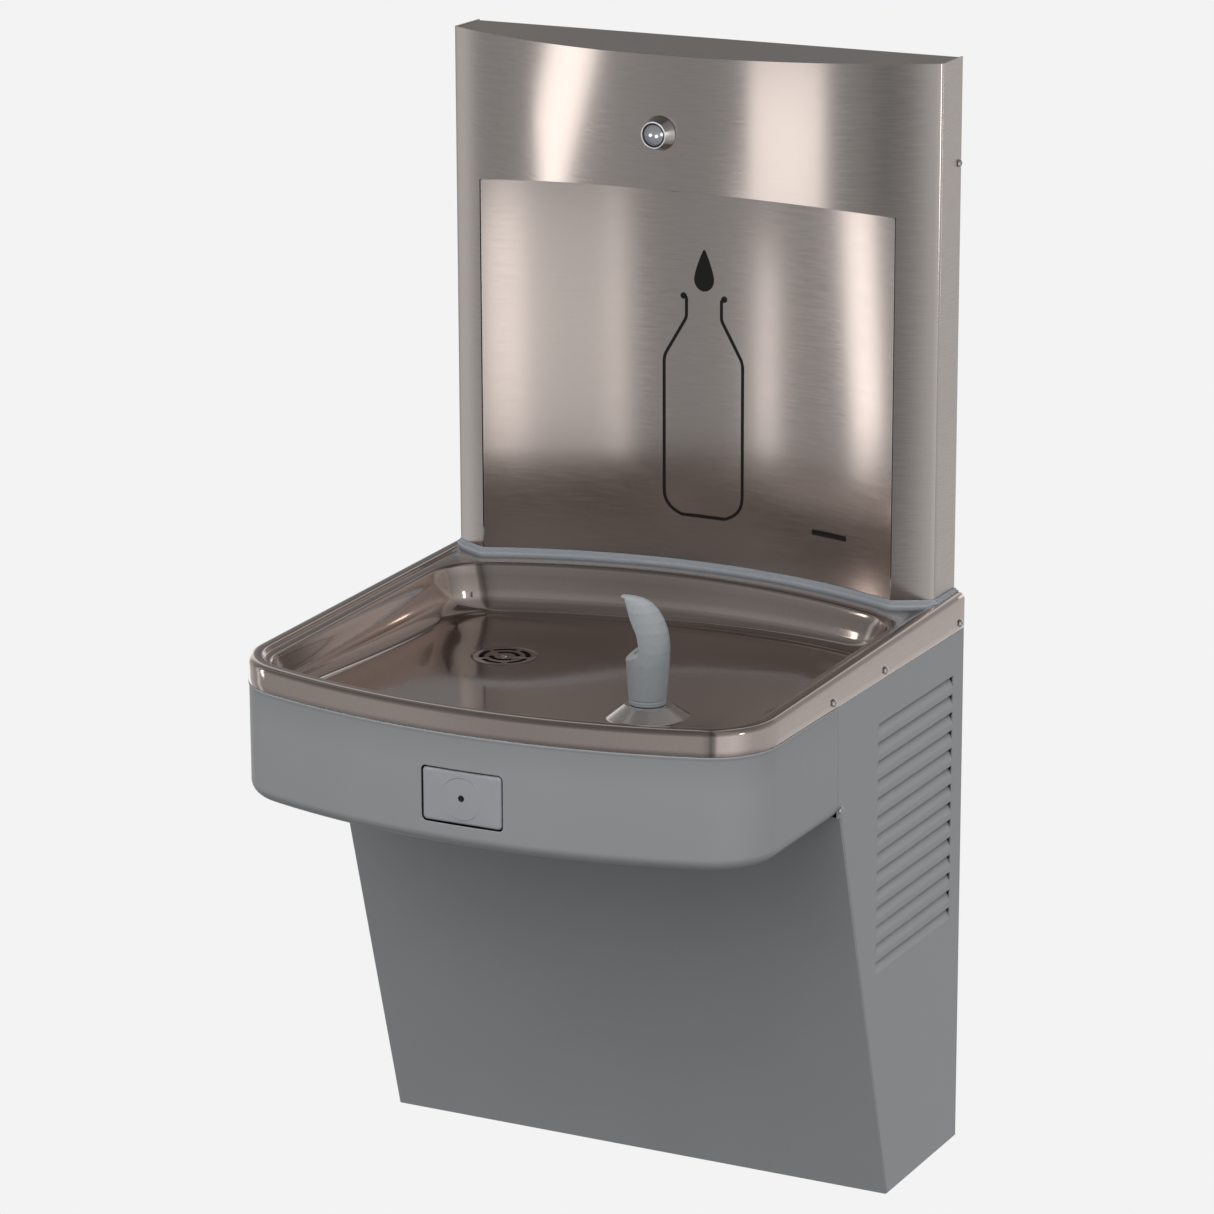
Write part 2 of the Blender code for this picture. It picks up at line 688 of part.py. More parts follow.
def rounded_rectangle(half_width, half_height, radius, centre_height, steps=4):
    outline = []
    for quadrant in range(4):
        angle = quadrant * math.pi / 2
        x = (half_width - radius) * (1 if quadrant in (0, 3) else -1)
        z = (half_height - radius) * (1 if quadrant < 2 else -1)
        for turn in spread(angle, angle + math.pi / 2, steps):
            outline.append((x + radius * math.cos(turn), centre_height + z + radius * math.sin(turn)))
    return outline


# ---------------------------------------------------------------- push pad and valve

def apron_front_y(x):
    inset = WIDTH / 2 - CABINET_HALF
    return -DEPTH + inset + sag(x, FRONT_RADIUS - inset)


def push_pad():
    """A bowed block with rounded corners, built as a row of upright slices."""
    half_width = PAD_WIDTH / 2
    flat = half_width - PAD_CORNER
    bends = [flat + PAD_CORNER * math.sin(math.radians(a)) for a in (30, 60, 90)]
    columns = [-x for x in reversed(bends)] + spread(-flat, flat, 8) + bends
    rings = []
    for x in columns:
        over = max(abs(x) - flat, 0.0)
        half = PAD_HEIGHT / 2 - PAD_CORNER + math.sqrt(max(PAD_CORNER ** 2 - over ** 2, 1e-8))
        low, high = PAD_CENTRE_Z - half, PAD_CENTRE_Z + half
        front = apron_front_y(x)
        back = -DEPTH + PAD_DEPTH
        rings.append([(x, front, low), (x, front, high), (x, back, high), (x, back, low)])
    piece("push_pad", loft(rings), PAD_GREY, (0, -DEPTH, PAD_CENTRE_Z))


def pad_valve():
    """A frame behind the apron, a bracket, and a spring-returned valve that the pad works."""
    outer = rounded_rectangle(0.0430, 0.0290, 0.004, PAD_CENTRE_Z)
    frame = piece("pad_frame", prism(outer, -0.4400, -0.4380, "y"), BLACK)
    inner = rounded_rectangle(PAD_WIDTH / 2 + 0.0007, PAD_HEIGHT / 2 + 0.0007, PAD_CORNER,
                              PAD_CENTRE_Z)
    cut(frame, "opening", prism(inner, -0.460, -0.420, "y"))
    plate = [(-0.4377, 0.0590), (-0.4257, 0.0590), (-0.4257, -0.0080), (-0.4377, -0.0080),
             (-0.4377, -0.0065), (-0.4272, -0.0065), (-0.4272, 0.0575), (-0.4377, 0.0575)]
    bracket = piece("valve_bracket", prism(plate, -0.030, 0.030, "x"), ZINC)
    centre = (0, -0.4254, PAD_CENTRE_Z)
    hole = turned([(0.0036, -0.01), (0.0036, 0.01)], 12)
    cut(bracket, "stem_hole", moved(hole, centre, (0, 1, 0)))
    body = turned([(0.0120, 0), (0.0120, 0.024), (0.0080, 0.030), (0, 0.030)], 20)
    block = piece("valve_body", moved(body, centre, (0, 1, 0)), BRASS)
    bore = turned([(0.0042, -0.001), (0.0042, 0.012)], 16)
    cut(block, "bore", moved(bore, centre, (0, 1, 0)))
    stem_at = (0, -DEPTH + PAD_DEPTH + GAP, PAD_CENTRE_Z)
    stem = turned([(0, 0), (0.0060, 0), (0.0060, 0.0015), (0.0030, 0.0015), (0.0030, 0.016),
                   (0, 0.016)], 16)
    piece("valve_stem", moved(stem, stem_at, (0, 1, 0)), CHROME, stem_at)
    coil_spring("valve_spring", stem_at[1] + 0.0015 + PAD_TRAVEL + 0.0008, -0.4272 - 0.0008)


def coil_spring(name, near, far):
    """The valve's return spring between two depths, at its pressed length."""
    turns, per_turn, mean, wire = 3.5, 14, 0.0044, 0.0004
    count = int(turns * per_turn)
    curve = bpy.data.curves.new(name, "CURVE")
    curve.dimensions = "3D"
    curve.bevel_depth = wire
    curve.bevel_resolution = 0
    curve.use_fill_caps = True
    spline = curve.splines.new("POLY")
    spline.points.add(count)
    for i, slot in enumerate(spline.points):
        angle = 2 * math.pi * i / per_turn
        slot.co = (mean * math.cos(angle), near + (far - near) * i / count,
                   PAD_CENTRE_Z + mean * math.sin(angle), 1)
    curve.materials.append(material_for(name, ZINC))
    bpy.context.collection.objects.link(bpy.data.objects.new(name, curve))


# ---------------------------------------------------------------- bottle filler

def shroud_plan(offset):
    """The shroud's footprint as an open line, offset outwards, with the alcove's hollow."""
    side = SHROUD_HALF + offset
    meeting = meeting_x(offset, offset)
    pillar = [side, side - 0.0028, side - 0.0105, 0.2000, 0.1940, meeting]
    right = [(x, shroud_front_y(x, offset)) for x in pillar]
    alcove = [(x, alcove_y(x, offset)) for x in spread(meeting, -meeting, 22)[1:-1]]
    left = [(-x, y) for x, y in reversed(right)]
    return [(side, -WALL_GAP)] + right + alcove + left + [(-side, -WALL_GAP)]


def shroud_gasket():
    """A strip under the shroud: on the rim's bead at the sides, on the deck elsewhere."""
    top = SHROUD_BOTTOM - GAP
    outer_line = shroud_plan(GASKET_OUT)
    inner_line = shroud_plan(-GASKET_IN)
    rings = []
    for i, (outer, inner) in enumerate(zip(outer_line, inner_line)):
        on_bead = min(i, len(outer_line) - 1 - i) < 3
        lift = 2 * GAP if on_bead else 0.001 - LIP_DROP
        rings.append([(*outer, top_height(outer[1]) + lift), (*outer, top),
                      (*inner, top), (*inner, top_height(inner[1]) + lift)])
    piece("shroud_gasket", loft(rings), GASKET_GREY)


def shroud_front_line(offset, steps=36):
    half = SHROUD_HALF + offset
    arc = [(x, shroud_front_y(x, offset)) for x in spread(half, -half, steps)]
    back = -SHROUD_SIDE_DEPTH + SEAM_RETURN
    return [(half, back)] + arc + [(-half, back)]


def shroud_front():
    """The bowed front sheet: a header with an arched lower edge, and a pillar each side."""
    outline = shroud_front_line(0.0) + shroud_front_line(-SHEET)[::-1]
    sheet = piece("shroud_front", prism(outline, SHROUD_BOTTOM, SHROUD_TOP), STAINLESS)
    near, far = -0.030, -0.200
    arch = [(near, 0.05), (far, 0.05), (far, ARCH_LOW + ARCH_RISE * (-0.060 - far)),
            (near, ARCH_LOW + ARCH_RISE * (-0.060 - near))]
    cut(sheet, "alcove_opening", prism(arch, -ALCOVE_HALF, ALCOVE_HALF, "x"))
    hole = turned([(0.0096, -0.02), (0.0096, 0.02)], 20)
    cut(sheet, "sensor_hole", moved(hole, (0, shroud_front_y(0), SENSOR_Z), (0, 1, 0)))


def shroud_shell():
    """Side sheets, back sheet, top cap, alcove panel and its ceiling."""
    for name, side in SIDES:
        front = -SHROUD_SIDE_DEPTH + SEAM_RETURN + GAP
        sheet = box((SHROUD_HALF - SHEET, front, SHROUD_BOTTOM),
                    (SHROUD_HALF, -WALL_GAP, SHROUD_TOP))
        hole = moved(turned([(0.0019, -0.01), (0.0019, 0.01)], 12),
                     (SHROUD_HALF, *SHROUD_SCREW), (1, 0, 0))
        if side < 0:
            sheet, hole = mirrored(sheet), mirrored(hole)
        cut(piece(f"shroud_side_{name}", sheet, STAINLESS), "screw_hole", hole)
    inner = SHROUD_HALF - SHEET - GAP
    piece("shroud_back", box((-inner, -0.0035, SHROUD_BOTTOM),
                             (inner, -WALL_GAP, SHROUD_TOP - 0.0030)), ZINC)
    arc = [(x, shroud_front_y(x, -SHEET - GAP)) for x in spread(inner, -inner, 30)]
    cap = [(inner, -WALL_GAP)] + arc + [(-inner, -WALL_GAP)]
    piece("top_cap", prism(cap, SHROUD_TOP - 0.0025, SHROUD_TOP - 0.0010), STAINLESS)
    edge = ALCOVE_HALF - 0.0008
    face = [(x, alcove_y(x)) for x in spread(edge, -edge, 28)]
    rear = [(x, alcove_y(x, -SHEET)) for x in spread(-edge, edge, 28)]
    panel = piece("alcove_panel", prism(face + rear, SHROUD_BOTTOM, CEILING - GAP), STAINLESS)
    reach = meeting_x(-SHEET - GAP, 0.0)
    notches = [box((side * reach, -0.1, ARCH_LOW - GAP), (side * 0.2, 0, CEILING + 0.01))
               for _, side in SIDES]
    cut(panel, "notches", merged(notches))
    lip = [(x, shroud_front_y(x, -SHEET - GAP)) for x in spread(reach, -reach, 24)]
    rest = [(x, alcove_y(x, -0.004)) for x in spread(-reach, reach, 24)]
    ceiling = piece("alcove_ceiling", prism(lip + rest, CEILING, CEILING + SHEET), STAINLESS)
    hole = turned([(0.0058, -0.01), (0.0058, 0.01)], 16)
    cut(ceiling, "nozzle_hole", moved(hole, (*NOZZLE, CEILING)))


def sensor():
    face = shroud_front_y(0) - GAP
    for name, finish, profile, hollow in (
        ("sensor_bezel", CHROME, [(0.01575, 0), (0.0108, 0.0098), (0.0100, 0.0102),
                                  (0.0092, 0.0098), (0.0092, 0)], True),
        ("sensor_lens", CLEAR, [(0, 0.0020), (0.0088, 0.0020), (0.0088, 0.0075),
                                (0.0062, 0.0098), (0.0030, 0.0107), (0, 0.0110)], False),
        ("sensor_body", BLACK, [(0, -0.0180), (0.0088, -0.0180), (0.0088, 0.0017),
                                (0, 0.0017)], False),
    ):
        piece(name, moved(turned(profile, 28, hollow), (0, face, SENSOR_Z), (0, -1, 0)), finish)


def filler_plumbing():
    """Nozzle in the alcove's ceiling, its solenoid valve, and the tubes to and from it."""
    nozzle = turned([(0, -0.0150), (0.0052, -0.0150), (0.0085, -0.0120), (0.0085, -0.0003),
                     (0.0054, -0.0003), (0.0054, 0.0140), (0, 0.0140)], 20)
    piece("filler_nozzle", moved(nozzle, (*NOZZLE, CEILING)), CHROME)
    x, y = TUBE
    valve = piece("solenoid_valve", box((x - 0.022, -0.046, 0.475), (x + 0.022, -0.006, 0.500)),
                  BLACK)
    coil = turned([(0.0150, -0.001), (0.0150, 0.030), (0.0130, 0.034), (0, 0.034)], 20)
    join(valve, "coil", moved(coil, (x, -0.028, 0.500)))
    pipe("filler_tube", [(x, y, 0.030), (x, y, 0.300), (x, y, 0.475 - GAP)], 0.0035, WHITE)
    pipe("nozzle_tube", [(x + 0.022 + GAP, -0.028, 0.4875), (0.0, -0.028, 0.4875),
                         (0.0, NOZZLE[1], 0.4875), (0.0, NOZZLE[1], CEILING + 0.0140 + GAP)],
         0.0035, WHITE)


# ---------------------------------------------------------------- cooling and supply

def cooling():
    """Insulated tank, compressor on its plate, condenser with its fan, filter drier."""
    tank = turned([(0, 0), (0.046, 0), (0.052, 0.008), (0.052, 0.146), (0.046, 0.154),
                   (0, 0.154)], 24)
    piece("cooling_tank", moved(tank, (-0.150, -0.075, -0.145)), FOAM)
    piece("compressor_plate", box((-0.075, -0.136, -0.3660), (0.115, -0.012, -0.3640)), ZINC)
    compressor = turned([(0, 0), (0.040, 0), (0.055, 0.018), (0.056, 0.070), (0.056, 0.100),
                         (0.046, 0.135), (0.020, 0.150), (0, 0.152)], 26)
    piece("compressor", moved(compressor, (0.020, -0.076, -0.3637)), BLACK)
    drier = turned([(0, 0), (0.003, 0), (0.003, 0.012), (0.010, 0.020), (0.010, 0.080),
                    (0.003, 0.088), (0.003, 0.100), (0, 0.100)], 14)
    piece("filter_drier", moved(drier, (0.100, -0.050, -0.325)), COPPER)
    y, z = FAN
    piece("condenser", box((0.190, y - 0.066, z - 0.090), (0.206, y + 0.066, z + 0.090)), COPPER)
    plate = piece("fan_shroud", box((0.184, y - 0.070, z - 0.092), (0.1865, y + 0.070, z + 0.092)),
                  ZINC)
    hole = turned([(0.060, -0.02), (0.060, 0.02)], 28)
    cut(plate, "fan_hole", moved(hole, (0.185, y, z), (1, 0, 0)))
    motor = turned([(0, 0), (0.022, 0), (0.026, 0.004), (0.026, 0.026), (0.003, 0.028),
                    (0.003, 0.044), (0, 0.044)], 20)
    motor = piece("fan_motor", moved(motor, (0.118, y, z), (1, 0, 0)), BLACK)
    arms = []
    for side in (-1, 1):
        spoke = sorted((z + side * 0.020, z + side * 0.070))
        strut = sorted((z + side * 0.065, z + side * 0.070))
        arms.append(box((0.128, y - 0.006, spoke[0]), (0.132, y + 0.006, spoke[1])))
        arms.append(box((0.130, y - 0.006, strut[0]), (0.184 - GAP, y + 0.006, strut[1])))
    for i, arm in enumerate(arms):
        join(motor, f"arm_{i}", arm)
    fan_blade((0.166, y, z))


def fan_blade(centre):
    """A hub with five pitched blades that turns about the motor's shaft."""
    hub = turned([(0.0034, -0.009), (0.0034, 0.009), (0.012, 0.009), (0.014, 0.006),
                  (0.014, -0.009)], 20, hollow=True)
    blades = []
    for i in range(5):
        turn = Matrix.Rotation(2 * math.pi * i / 5, 4, "Z")
        rings = []
        for reach, pitch, chord in ((0.0125, 50, 0.012), (0.034, 40, 0.022), (0.055, 30, 0.030)):
            lean = math.radians(pitch)
            ring = []
            for along, across in ((-0.5, -0.5), (0.5, -0.5), (0.5, 0.5), (-0.5, 0.5)):
                u, v = along * chord, across * 0.0016
                point = Vector((reach, u * math.cos(lean) - v * math.sin(lean),
                                u * math.sin(lean) + v * math.cos(lean)))
                ring.append(tuple(turn @ point))
            rings.append(ring)
        blades.append(loft(rings))
    fan = piece("fan_blade", moved(hub, centre, (1, 0, 0)), ZINC, centre)
    for i, blade in enumerate(blades):
        join(fan, f"blade_{i}", moved(blade, centre, (1, 0, 0)))


def supply_and_controls():
    """Stop valve and cold feed, thermostat with its dial, and the electric junction box."""
    valve = turned([(0, 0), (0.0070, 0), (0.0070, 0.008), (0.0125, 0.010), (0.0125, 0.026),
                    (0.0060, 0.030), (0.0060, 0.036), (0, 0.036)], 16)
    piece("stop_valve", moved(valve, (0.170, -0.003, -0.230), (0, -1, 0)), BRASS)
    pipe("supply_tube", [(0.170, -0.0395, -0.230), (0.170, -0.062, -0.230), (0.120, -0.062, -0.195),
                         (-0.150, -0.062, -0.195), (-0.150, -0.062, -0.1453)], 0.0040, WHITE)
    front = -0.0340
    piece("thermostat_body", box((-0.020, front, -0.100), (0.020, -BACK_PANEL_FRONT - GAP, -0.060)),
          BLACK)
    dial_at = (0, front - GAP, -0.080)
    dial = piece("thermostat_dial", moved(turned(
        [(0, 0), (0.0130, 0), (0.0120, 0.0080), (0, 0.0080)], 24), dial_at, (0, -1, 0)),
        WHITE, dial_at)
    cut(dial, "pointer", box((-0.0008, front - 0.0120, -0.080), (0.0008, front - 0.0070, -0.064)))
    piece("junction_box", box((0.040, -0.046, -0.190), (0.100, -BACK_PANEL_FRONT - GAP, -0.130)),
          ZINC)


# ---------------------------------------------------------------- fasteners

def screw(name, at, facing):
    """A dome-headed screw; at is the middle of the face that its head sits on."""
    profile = [(0, -0.006), (0.0015, -0.006), (0.0015, GAP), (0.0034, GAP), (0.0031, 0.0014),
               (0.0018, 0.0022), (0, 0.0024)]
    piece(name, moved(turned(profile, 14), at, facing), CHROME)


def rim_screw_shanks(clearance):
    """Guides for the holes of all six screws in the skirt."""
    shank = turned([(0.0015 + clearance, -0.007), (0.0015 + clearance, 0.004)], 12)
    shapes = []
    for _, side in SIDES:
        for depth in RIM_SCREWS:
            shapes.append(moved(shank, (side * WIDTH / 2, -depth, RIM_SCREW_Z), (side, 0, 0)))
    return shapes


def side_panel_holes():
    """Guides for the right side panel's screw holes: two in its tongue, one in its corner."""
    shank = turned([(0.0019, -0.008), (0.0019, 0.004)], 12)
    shapes = [moved(shank, (WIDTH / 2, -depth, RIM_SCREW_Z), (1, 0, 0)) for depth in RIM_SCREWS[:2]]
    return shapes + [moved(shank, (CABINET_HALF, *CORNER_SCREW), (1, 0, 0))]


def fasteners():
    for name, side in SIDES:
        for place, depth in zip(("rear", "middle", "front"), RIM_SCREWS):
            screw(f"rim_screw_{name}_{place}", (side * WIDTH / 2, -depth, RIM_SCREW_Z), (side, 0, 0))
        screw(f"shroud_screw_{name}", (side * SHROUD_HALF, *SHROUD_SCREW), (side, 0, 0))
        screw(f"apron_screw_{name}", (side * CABINET_HALF, *CORNER_SCREW), (side, 0, 0))


def main():
    clear_scene()
    wall_hanger()
    back_panel()
    for name, side in SIDES:
        side_panel(f"side_panel_{name}", side)
    front_apron()
    apron_floor()
    lower_front_panel()
    bottom_pan()
    basin_top()
    drain()
    bubbler()
    push_pad()
    pad_valve()
    shroud_gasket()
    shroud_front()
    shroud_shell()
    sensor()
    filler_plumbing()
    cooling()
    supply_and_controls()
    fasteners()


main()
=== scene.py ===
"""Looks of the wall-hung drinking fountain: fine meshes, materials, studio and camera.

Everything is in metres in the model's frame: +Z up, the wall is y = 0, the front faces -Y.
A shape is a (vertices, faces) pair until it becomes an object.
"""
import json
import math

import bmesh
import bpy
from mathutils import Matrix, Vector

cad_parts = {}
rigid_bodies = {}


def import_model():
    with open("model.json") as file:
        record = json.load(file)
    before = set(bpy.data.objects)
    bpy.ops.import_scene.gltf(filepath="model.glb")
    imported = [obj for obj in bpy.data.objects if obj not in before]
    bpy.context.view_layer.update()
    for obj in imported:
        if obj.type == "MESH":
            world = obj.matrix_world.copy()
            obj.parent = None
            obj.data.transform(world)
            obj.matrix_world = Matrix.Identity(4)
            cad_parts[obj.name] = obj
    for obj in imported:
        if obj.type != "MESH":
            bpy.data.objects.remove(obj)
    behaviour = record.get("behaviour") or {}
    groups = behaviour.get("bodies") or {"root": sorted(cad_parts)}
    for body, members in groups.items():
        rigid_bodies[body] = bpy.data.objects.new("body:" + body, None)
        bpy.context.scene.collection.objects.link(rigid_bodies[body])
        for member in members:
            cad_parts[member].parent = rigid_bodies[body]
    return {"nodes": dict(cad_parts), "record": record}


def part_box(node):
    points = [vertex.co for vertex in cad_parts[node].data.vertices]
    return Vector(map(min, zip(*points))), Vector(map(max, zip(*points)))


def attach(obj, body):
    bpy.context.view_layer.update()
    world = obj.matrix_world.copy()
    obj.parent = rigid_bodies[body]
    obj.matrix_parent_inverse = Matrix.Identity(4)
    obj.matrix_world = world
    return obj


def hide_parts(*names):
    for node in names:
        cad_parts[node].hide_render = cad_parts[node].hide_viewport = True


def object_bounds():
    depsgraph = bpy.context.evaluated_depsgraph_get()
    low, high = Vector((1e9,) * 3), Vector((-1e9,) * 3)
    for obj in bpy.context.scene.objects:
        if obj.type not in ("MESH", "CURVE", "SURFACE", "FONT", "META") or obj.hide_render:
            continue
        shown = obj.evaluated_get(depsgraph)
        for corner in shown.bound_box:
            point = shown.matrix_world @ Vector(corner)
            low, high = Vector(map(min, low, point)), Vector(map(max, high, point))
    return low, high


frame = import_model()
cad_low, cad_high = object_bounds()

# Driving dimensions, read from the frame where a node's box states them
basin_low, basin_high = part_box("basin_top")
shroud_low, shroud_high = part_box("shroud_front")
pad_low, pad_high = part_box("push_pad")
WIDTH = basin_high[0] - basin_low[0]
DEPTH = -basin_low[1]
SHROUD_HALF = shroud_high[0]
SHROUD_BOTTOM = shroud_low[2]
SHROUD_TOP = shroud_high[2]
PAD_CENTRE_Z = (pad_low[2] + pad_high[2]) / 2
PAD_WIDTH = pad_high[0] - pad_low[0]
PAD_HEIGHT = pad_high[2] - pad_low[2]

RIM_TOP = 0.100
SKIRT_BOTTOM = 0.0768
RIM_SLOPE = 0.0225
SLOPE_DATUM = 0.300
FRONT_RADIUS = 0.620
CORNER_RADIUS = 0.057
BEAD = 0.0055
BEAD_WIDTH = 0.0088
SHEET = 0.0015
GAP = 0.0003
WALL_GAP = 0.002

BOWL_HALF = 0.206
BOWL_FRONT = 0.014
BOWL_BACK = 0.0435
BOWL_CORNER = 0.040
LIP_DROP = 0.0040
FLOOR_DEPTH = 0.0425
FLOOR_SLOPE = 0.050
DRAIN = (-0.101, -0.186)
DRAIN_HOLE = 0.0190
DRAIN_FLAT = 0.0285
BOSS = (0.0935, -0.3135)
BOSS_TOP = 0.0782

BUBBLER_SCALE = 0.94
BUBBLER_TURN = math.radians(24)
ORIFICE = (-0.0092, 0, 0.0407)
ORIFICE_AXIS = (-0.54, 0, 0.84)
PAD_SLOT = 0.0014          # between the push pad and its window

FACE_INSET = 0.0003        # of the painted faces, in from the skirt
CABINET_HALF = WIDTH / 2 - FACE_INSET
CABINET_BOTTOM = cad_low[2]
CABINET_BOTTOM_DEPTH = 0.147
APRON_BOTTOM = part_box("front_apron")[0][2]
APRON_ROLL = 0.011
SEAM = 0.2509
FRONT_TOP_DEPTH = 0.247
LOUVRE_COUNT = 14
LOUVRE_TOP = 0.0405
LOUVRE_PITCH = 0.0154
LOUVRE_BACK = 0.0230
LOUVRE_FRONT = 0.1735
LOUVRE_SINK = 0.0048
LOUVRE_HEIGHT = 0.0085

SHROUD_SIDE_DEPTH = 0.0438
SHROUD_BOW = 0.060
SEAM_RETURN = 0.0028
ALCOVE_HALF = 0.188
ALCOVE_BACK = 0.0213
ALCOVE_RADIUS = 0.4715
ARCH_LOW = 0.4245
ARCH_RISE = 0.341
CEILING = 0.4435
GASKET_OUT = 0.0038
GASKET_IN = 0.0040
SENSOR_Z = 0.4853
NOZZLE = (0.0, -0.072)

SIDES = (("left", -1), ("right", 1))
LOOKS = {  # material slot: the looks that go with it, the plain one first
    "brushed_stainless": ("side", "header", "bowl", "cap", "boss"),
    "grey_paint": ("paint",),
    "pad_plastic": ("pad",),
    "bubbler_plastic": ("bubbler",),
    "gasket_rubber": ("gasket",),
    "chrome_trim": ("chrome", "edge"),
    "galvanised_sheet": ("zinc",),
    "black_plastic": ("black", "ink", "painted_shade", "speckled"),
    "black_enamel": ("enamel",),
    "tank_foam": ("foam",),
    "brass_fitting": ("brass",),
    "copper_line": ("copper", "fins"),
    "sensor_glass": ("lens", "glint"),
    "white_plastic": ("white",),
}

CAMERA_AZIMUTH = math.radians(27.0)      # from the front towards the right
CAMERA_ELEVATION = math.radians(15.8)
CAMERA_ROLL = math.radians(-0.2)
CAMERA_DISTANCE = 4.146
CAMERA_TARGET = Vector((-0.1016, 0.0, 0.052))
CAMERA_LENS = 144.27                     # millimetres, on a 36 mm sensor
BACKDROP = (0.896, 0.896, 0.896)
FLOOR_Z = -0.80
FLOOR_HALF = 8
SOFTBOX_REACH = 1.2
SOFTBOX_CENTRE = (0, -0.08, 0.10)
SOFTBOX_COLOUR = (1.0, 0.93, 0.89)
SOFTBOXES = (  # what it lights, azimuth, height, width, length, roll, brightness
    ("header", -53.2, 0.34, 0.19, 0.44, -55, 1.15),
    ("header", -60, 0.09, 0.15, 0.20, -15, 1.1),
    ("header", 8.5, 0.283, 0.42, 0.19, 0, 0.84),
    ("header", 6, 0.09, 0.52, 0.18, 0, 0.75),
    ("header", 84, 0.48, 0.40, 0.60, 0, 2.5),
    ("alcove", -60, 0.05, 0.15, 0.34, -15, 1.25),
    ("alcove", -39, 0.0, 0.09, 0.24, 0, 0.75),
    ("alcove", 6.5, 0.03, 0.15, 0.30, 0, 0.85),
    ("alcove", -3.5, 0.03, 0.25, 0.30, 0, 0.28),
    ("alcove", -12, 0.03, 0.07, 0.30, 0, 0.70),
    ("basin", -62, 0.10, 0.10, 0.50, 0, 1.6),
    ("basin", 63, 0.36, 0.12, 0.16, 0, 2.5),
)


# ---------------------------------------------------------------- shape helpers

def spread(low, high, steps):
    return [low + (high - low) * i / steps for i in range(steps + 1)]


def circle(steps, radius=1.0, centre=(0.0, 0.0)):
    turns = [2 * math.pi * i / steps for i in range(steps)]
    return [(centre[0] + radius * math.cos(turn), centre[1] + radius * math.sin(turn))
            for turn in turns]


def prism(outline, low, high, axis="z"):
    """An outline extruded along an axis; it is (x, y), (y, z) or (x, z) for z, x or y."""
    place = {
        "z": lambda p, h: (p[0], p[1], h),
        "x": lambda p, h: (h, p[0], p[1]),
        "y": lambda p, h: (p[0], h, p[1]),
    }[axis]
    count = len(outline)
    vertices = [place(p, low) for p in outline] + [place(p, high) for p in outline]
    faces = [(i, (i + 1) % count, count + (i + 1) % count, count + i) for i in range(count)]
    faces.append(tuple(range(count)))
    faces.append(tuple(range(2 * count - 1, count - 1, -1)))
    return vertices, faces


def box(low, high):
    outline = [(low[0], low[1]), (high[0], low[1]), (high[0], high[1]), (low[0], high[1])]
    return prism(outline, low[2], high[2])


def loft(rings, closed_rings=True, closed_path=False, caps=True):
    """Skin a row of rings with equally many points."""
    count = len(rings[0])
    vertices = [point for ring in rings for point in ring]
    faces = []
    spans = len(rings) if closed_path else len(rings) - 1
    steps = count if closed_rings else count - 1
    for span in range(spans):
        here = span * count
        there = (span + 1) % len(rings) * count
        for i in range(steps):
            j = (i + 1) % count
            faces.append((here + i, here + j, there + j, there + i))
    if caps and not closed_path:
        faces.append(tuple(range(count)))
        faces.append(tuple(range(len(vertices) - count, len(vertices))))
    return vertices, faces


def turned(profile, steps, hollow=False):
    """A (radius, height) profile turned about Z; a hollow one is a closed outline."""
    vertices = []
    rings = []
    for radius, height in profile:
        if radius == 0:
            rings.append([len(vertices)])
            vertices.append((0, 0, height))
            continue
        rings.append(list(range(len(vertices), len(vertices) + steps)))
        vertices += [(x, y, height) for x, y in circle(steps, radius)]
    faces = []
    pairs = list(zip(rings, rings[1:]))
    if hollow:
        pairs.append((rings[-1], rings[0]))
    for low, high in pairs:
        for i in range(steps):
            corners = (low[i % len(low)], low[(i + 1) % len(low)],
                       high[(i + 1) % len(high)], high[i % len(high)])
            faces.append(tuple(dict.fromkeys(corners)))
    if not hollow:
        faces += [tuple(ring) for ring in (rings[0], rings[-1]) if len(ring) > 1]
    return vertices, faces


def moved(shape, at=(0, 0, 0), facing=(0, 0, 1)):
    """A shape turned so that its +Z looks along facing, then moved."""
    turn = Vector((0, 0, 1)).rotation_difference(Vector(facing)).to_matrix().to_4x4()
    matrix = Matrix.Translation(at) @ turn
    return [tuple(matrix @ Vector(v)) for v in shape[0]], shape[1]


def merged(shapes):
    vertices, faces = [], []
    for shape in shapes:
        start = len(vertices)
        vertices += shape[0]
        faces += [tuple(i + start for i in face) for face in shape[1]]
    return vertices, faces


def mirrored(shape):
    return [(-x, y, z) for x, y, z in shape[0]], shape[1]


def rounded(points, radii, steps=6):
    """A closed 2-D outline with its corners rounded by arcs of the given radii."""
    line = []
    count = len(points)
    for i, radius in enumerate(radii):
        corner = Vector(points[i])
        before = Vector(points[i - 1]) - corner
        after = Vector(points[(i + 1) % count]) - corner
        half = before.angle(after) / 2
        if radius == 0:
            line.append(tuple(corner))
            continue
        reach = radius / math.tan(half)
        centre = corner + (before.normalized() + after.normalized()).normalized() * (
            radius / math.sin(half))
        start = corner + before.normalized() * reach - centre
        end = corner + after.normalized() * reach - centre
        sweep = start.angle_signed(end)
        for k in range(steps + 1):
            turn = Matrix.Rotation(-sweep * k / steps, 2)
            line.append(tuple(centre + turn @ start))
    return line


# ---------------------------------------------------------------- objects

def mesh_from(name, shape):
    mesh = bpy.data.meshes.new(name)
    mesh.from_pydata([Vector(v) for v in shape[0]], [], shape[1])
    work = bmesh.new()
    work.from_mesh(mesh)
    bmesh.ops.recalc_face_normals(work, faces=work.faces)
    work.to_mesh(mesh)
    work.free()
    return mesh


def placed(name, data):
    thing = bpy.data.objects.new(name, data)
    bpy.context.collection.objects.link(thing)
    return thing


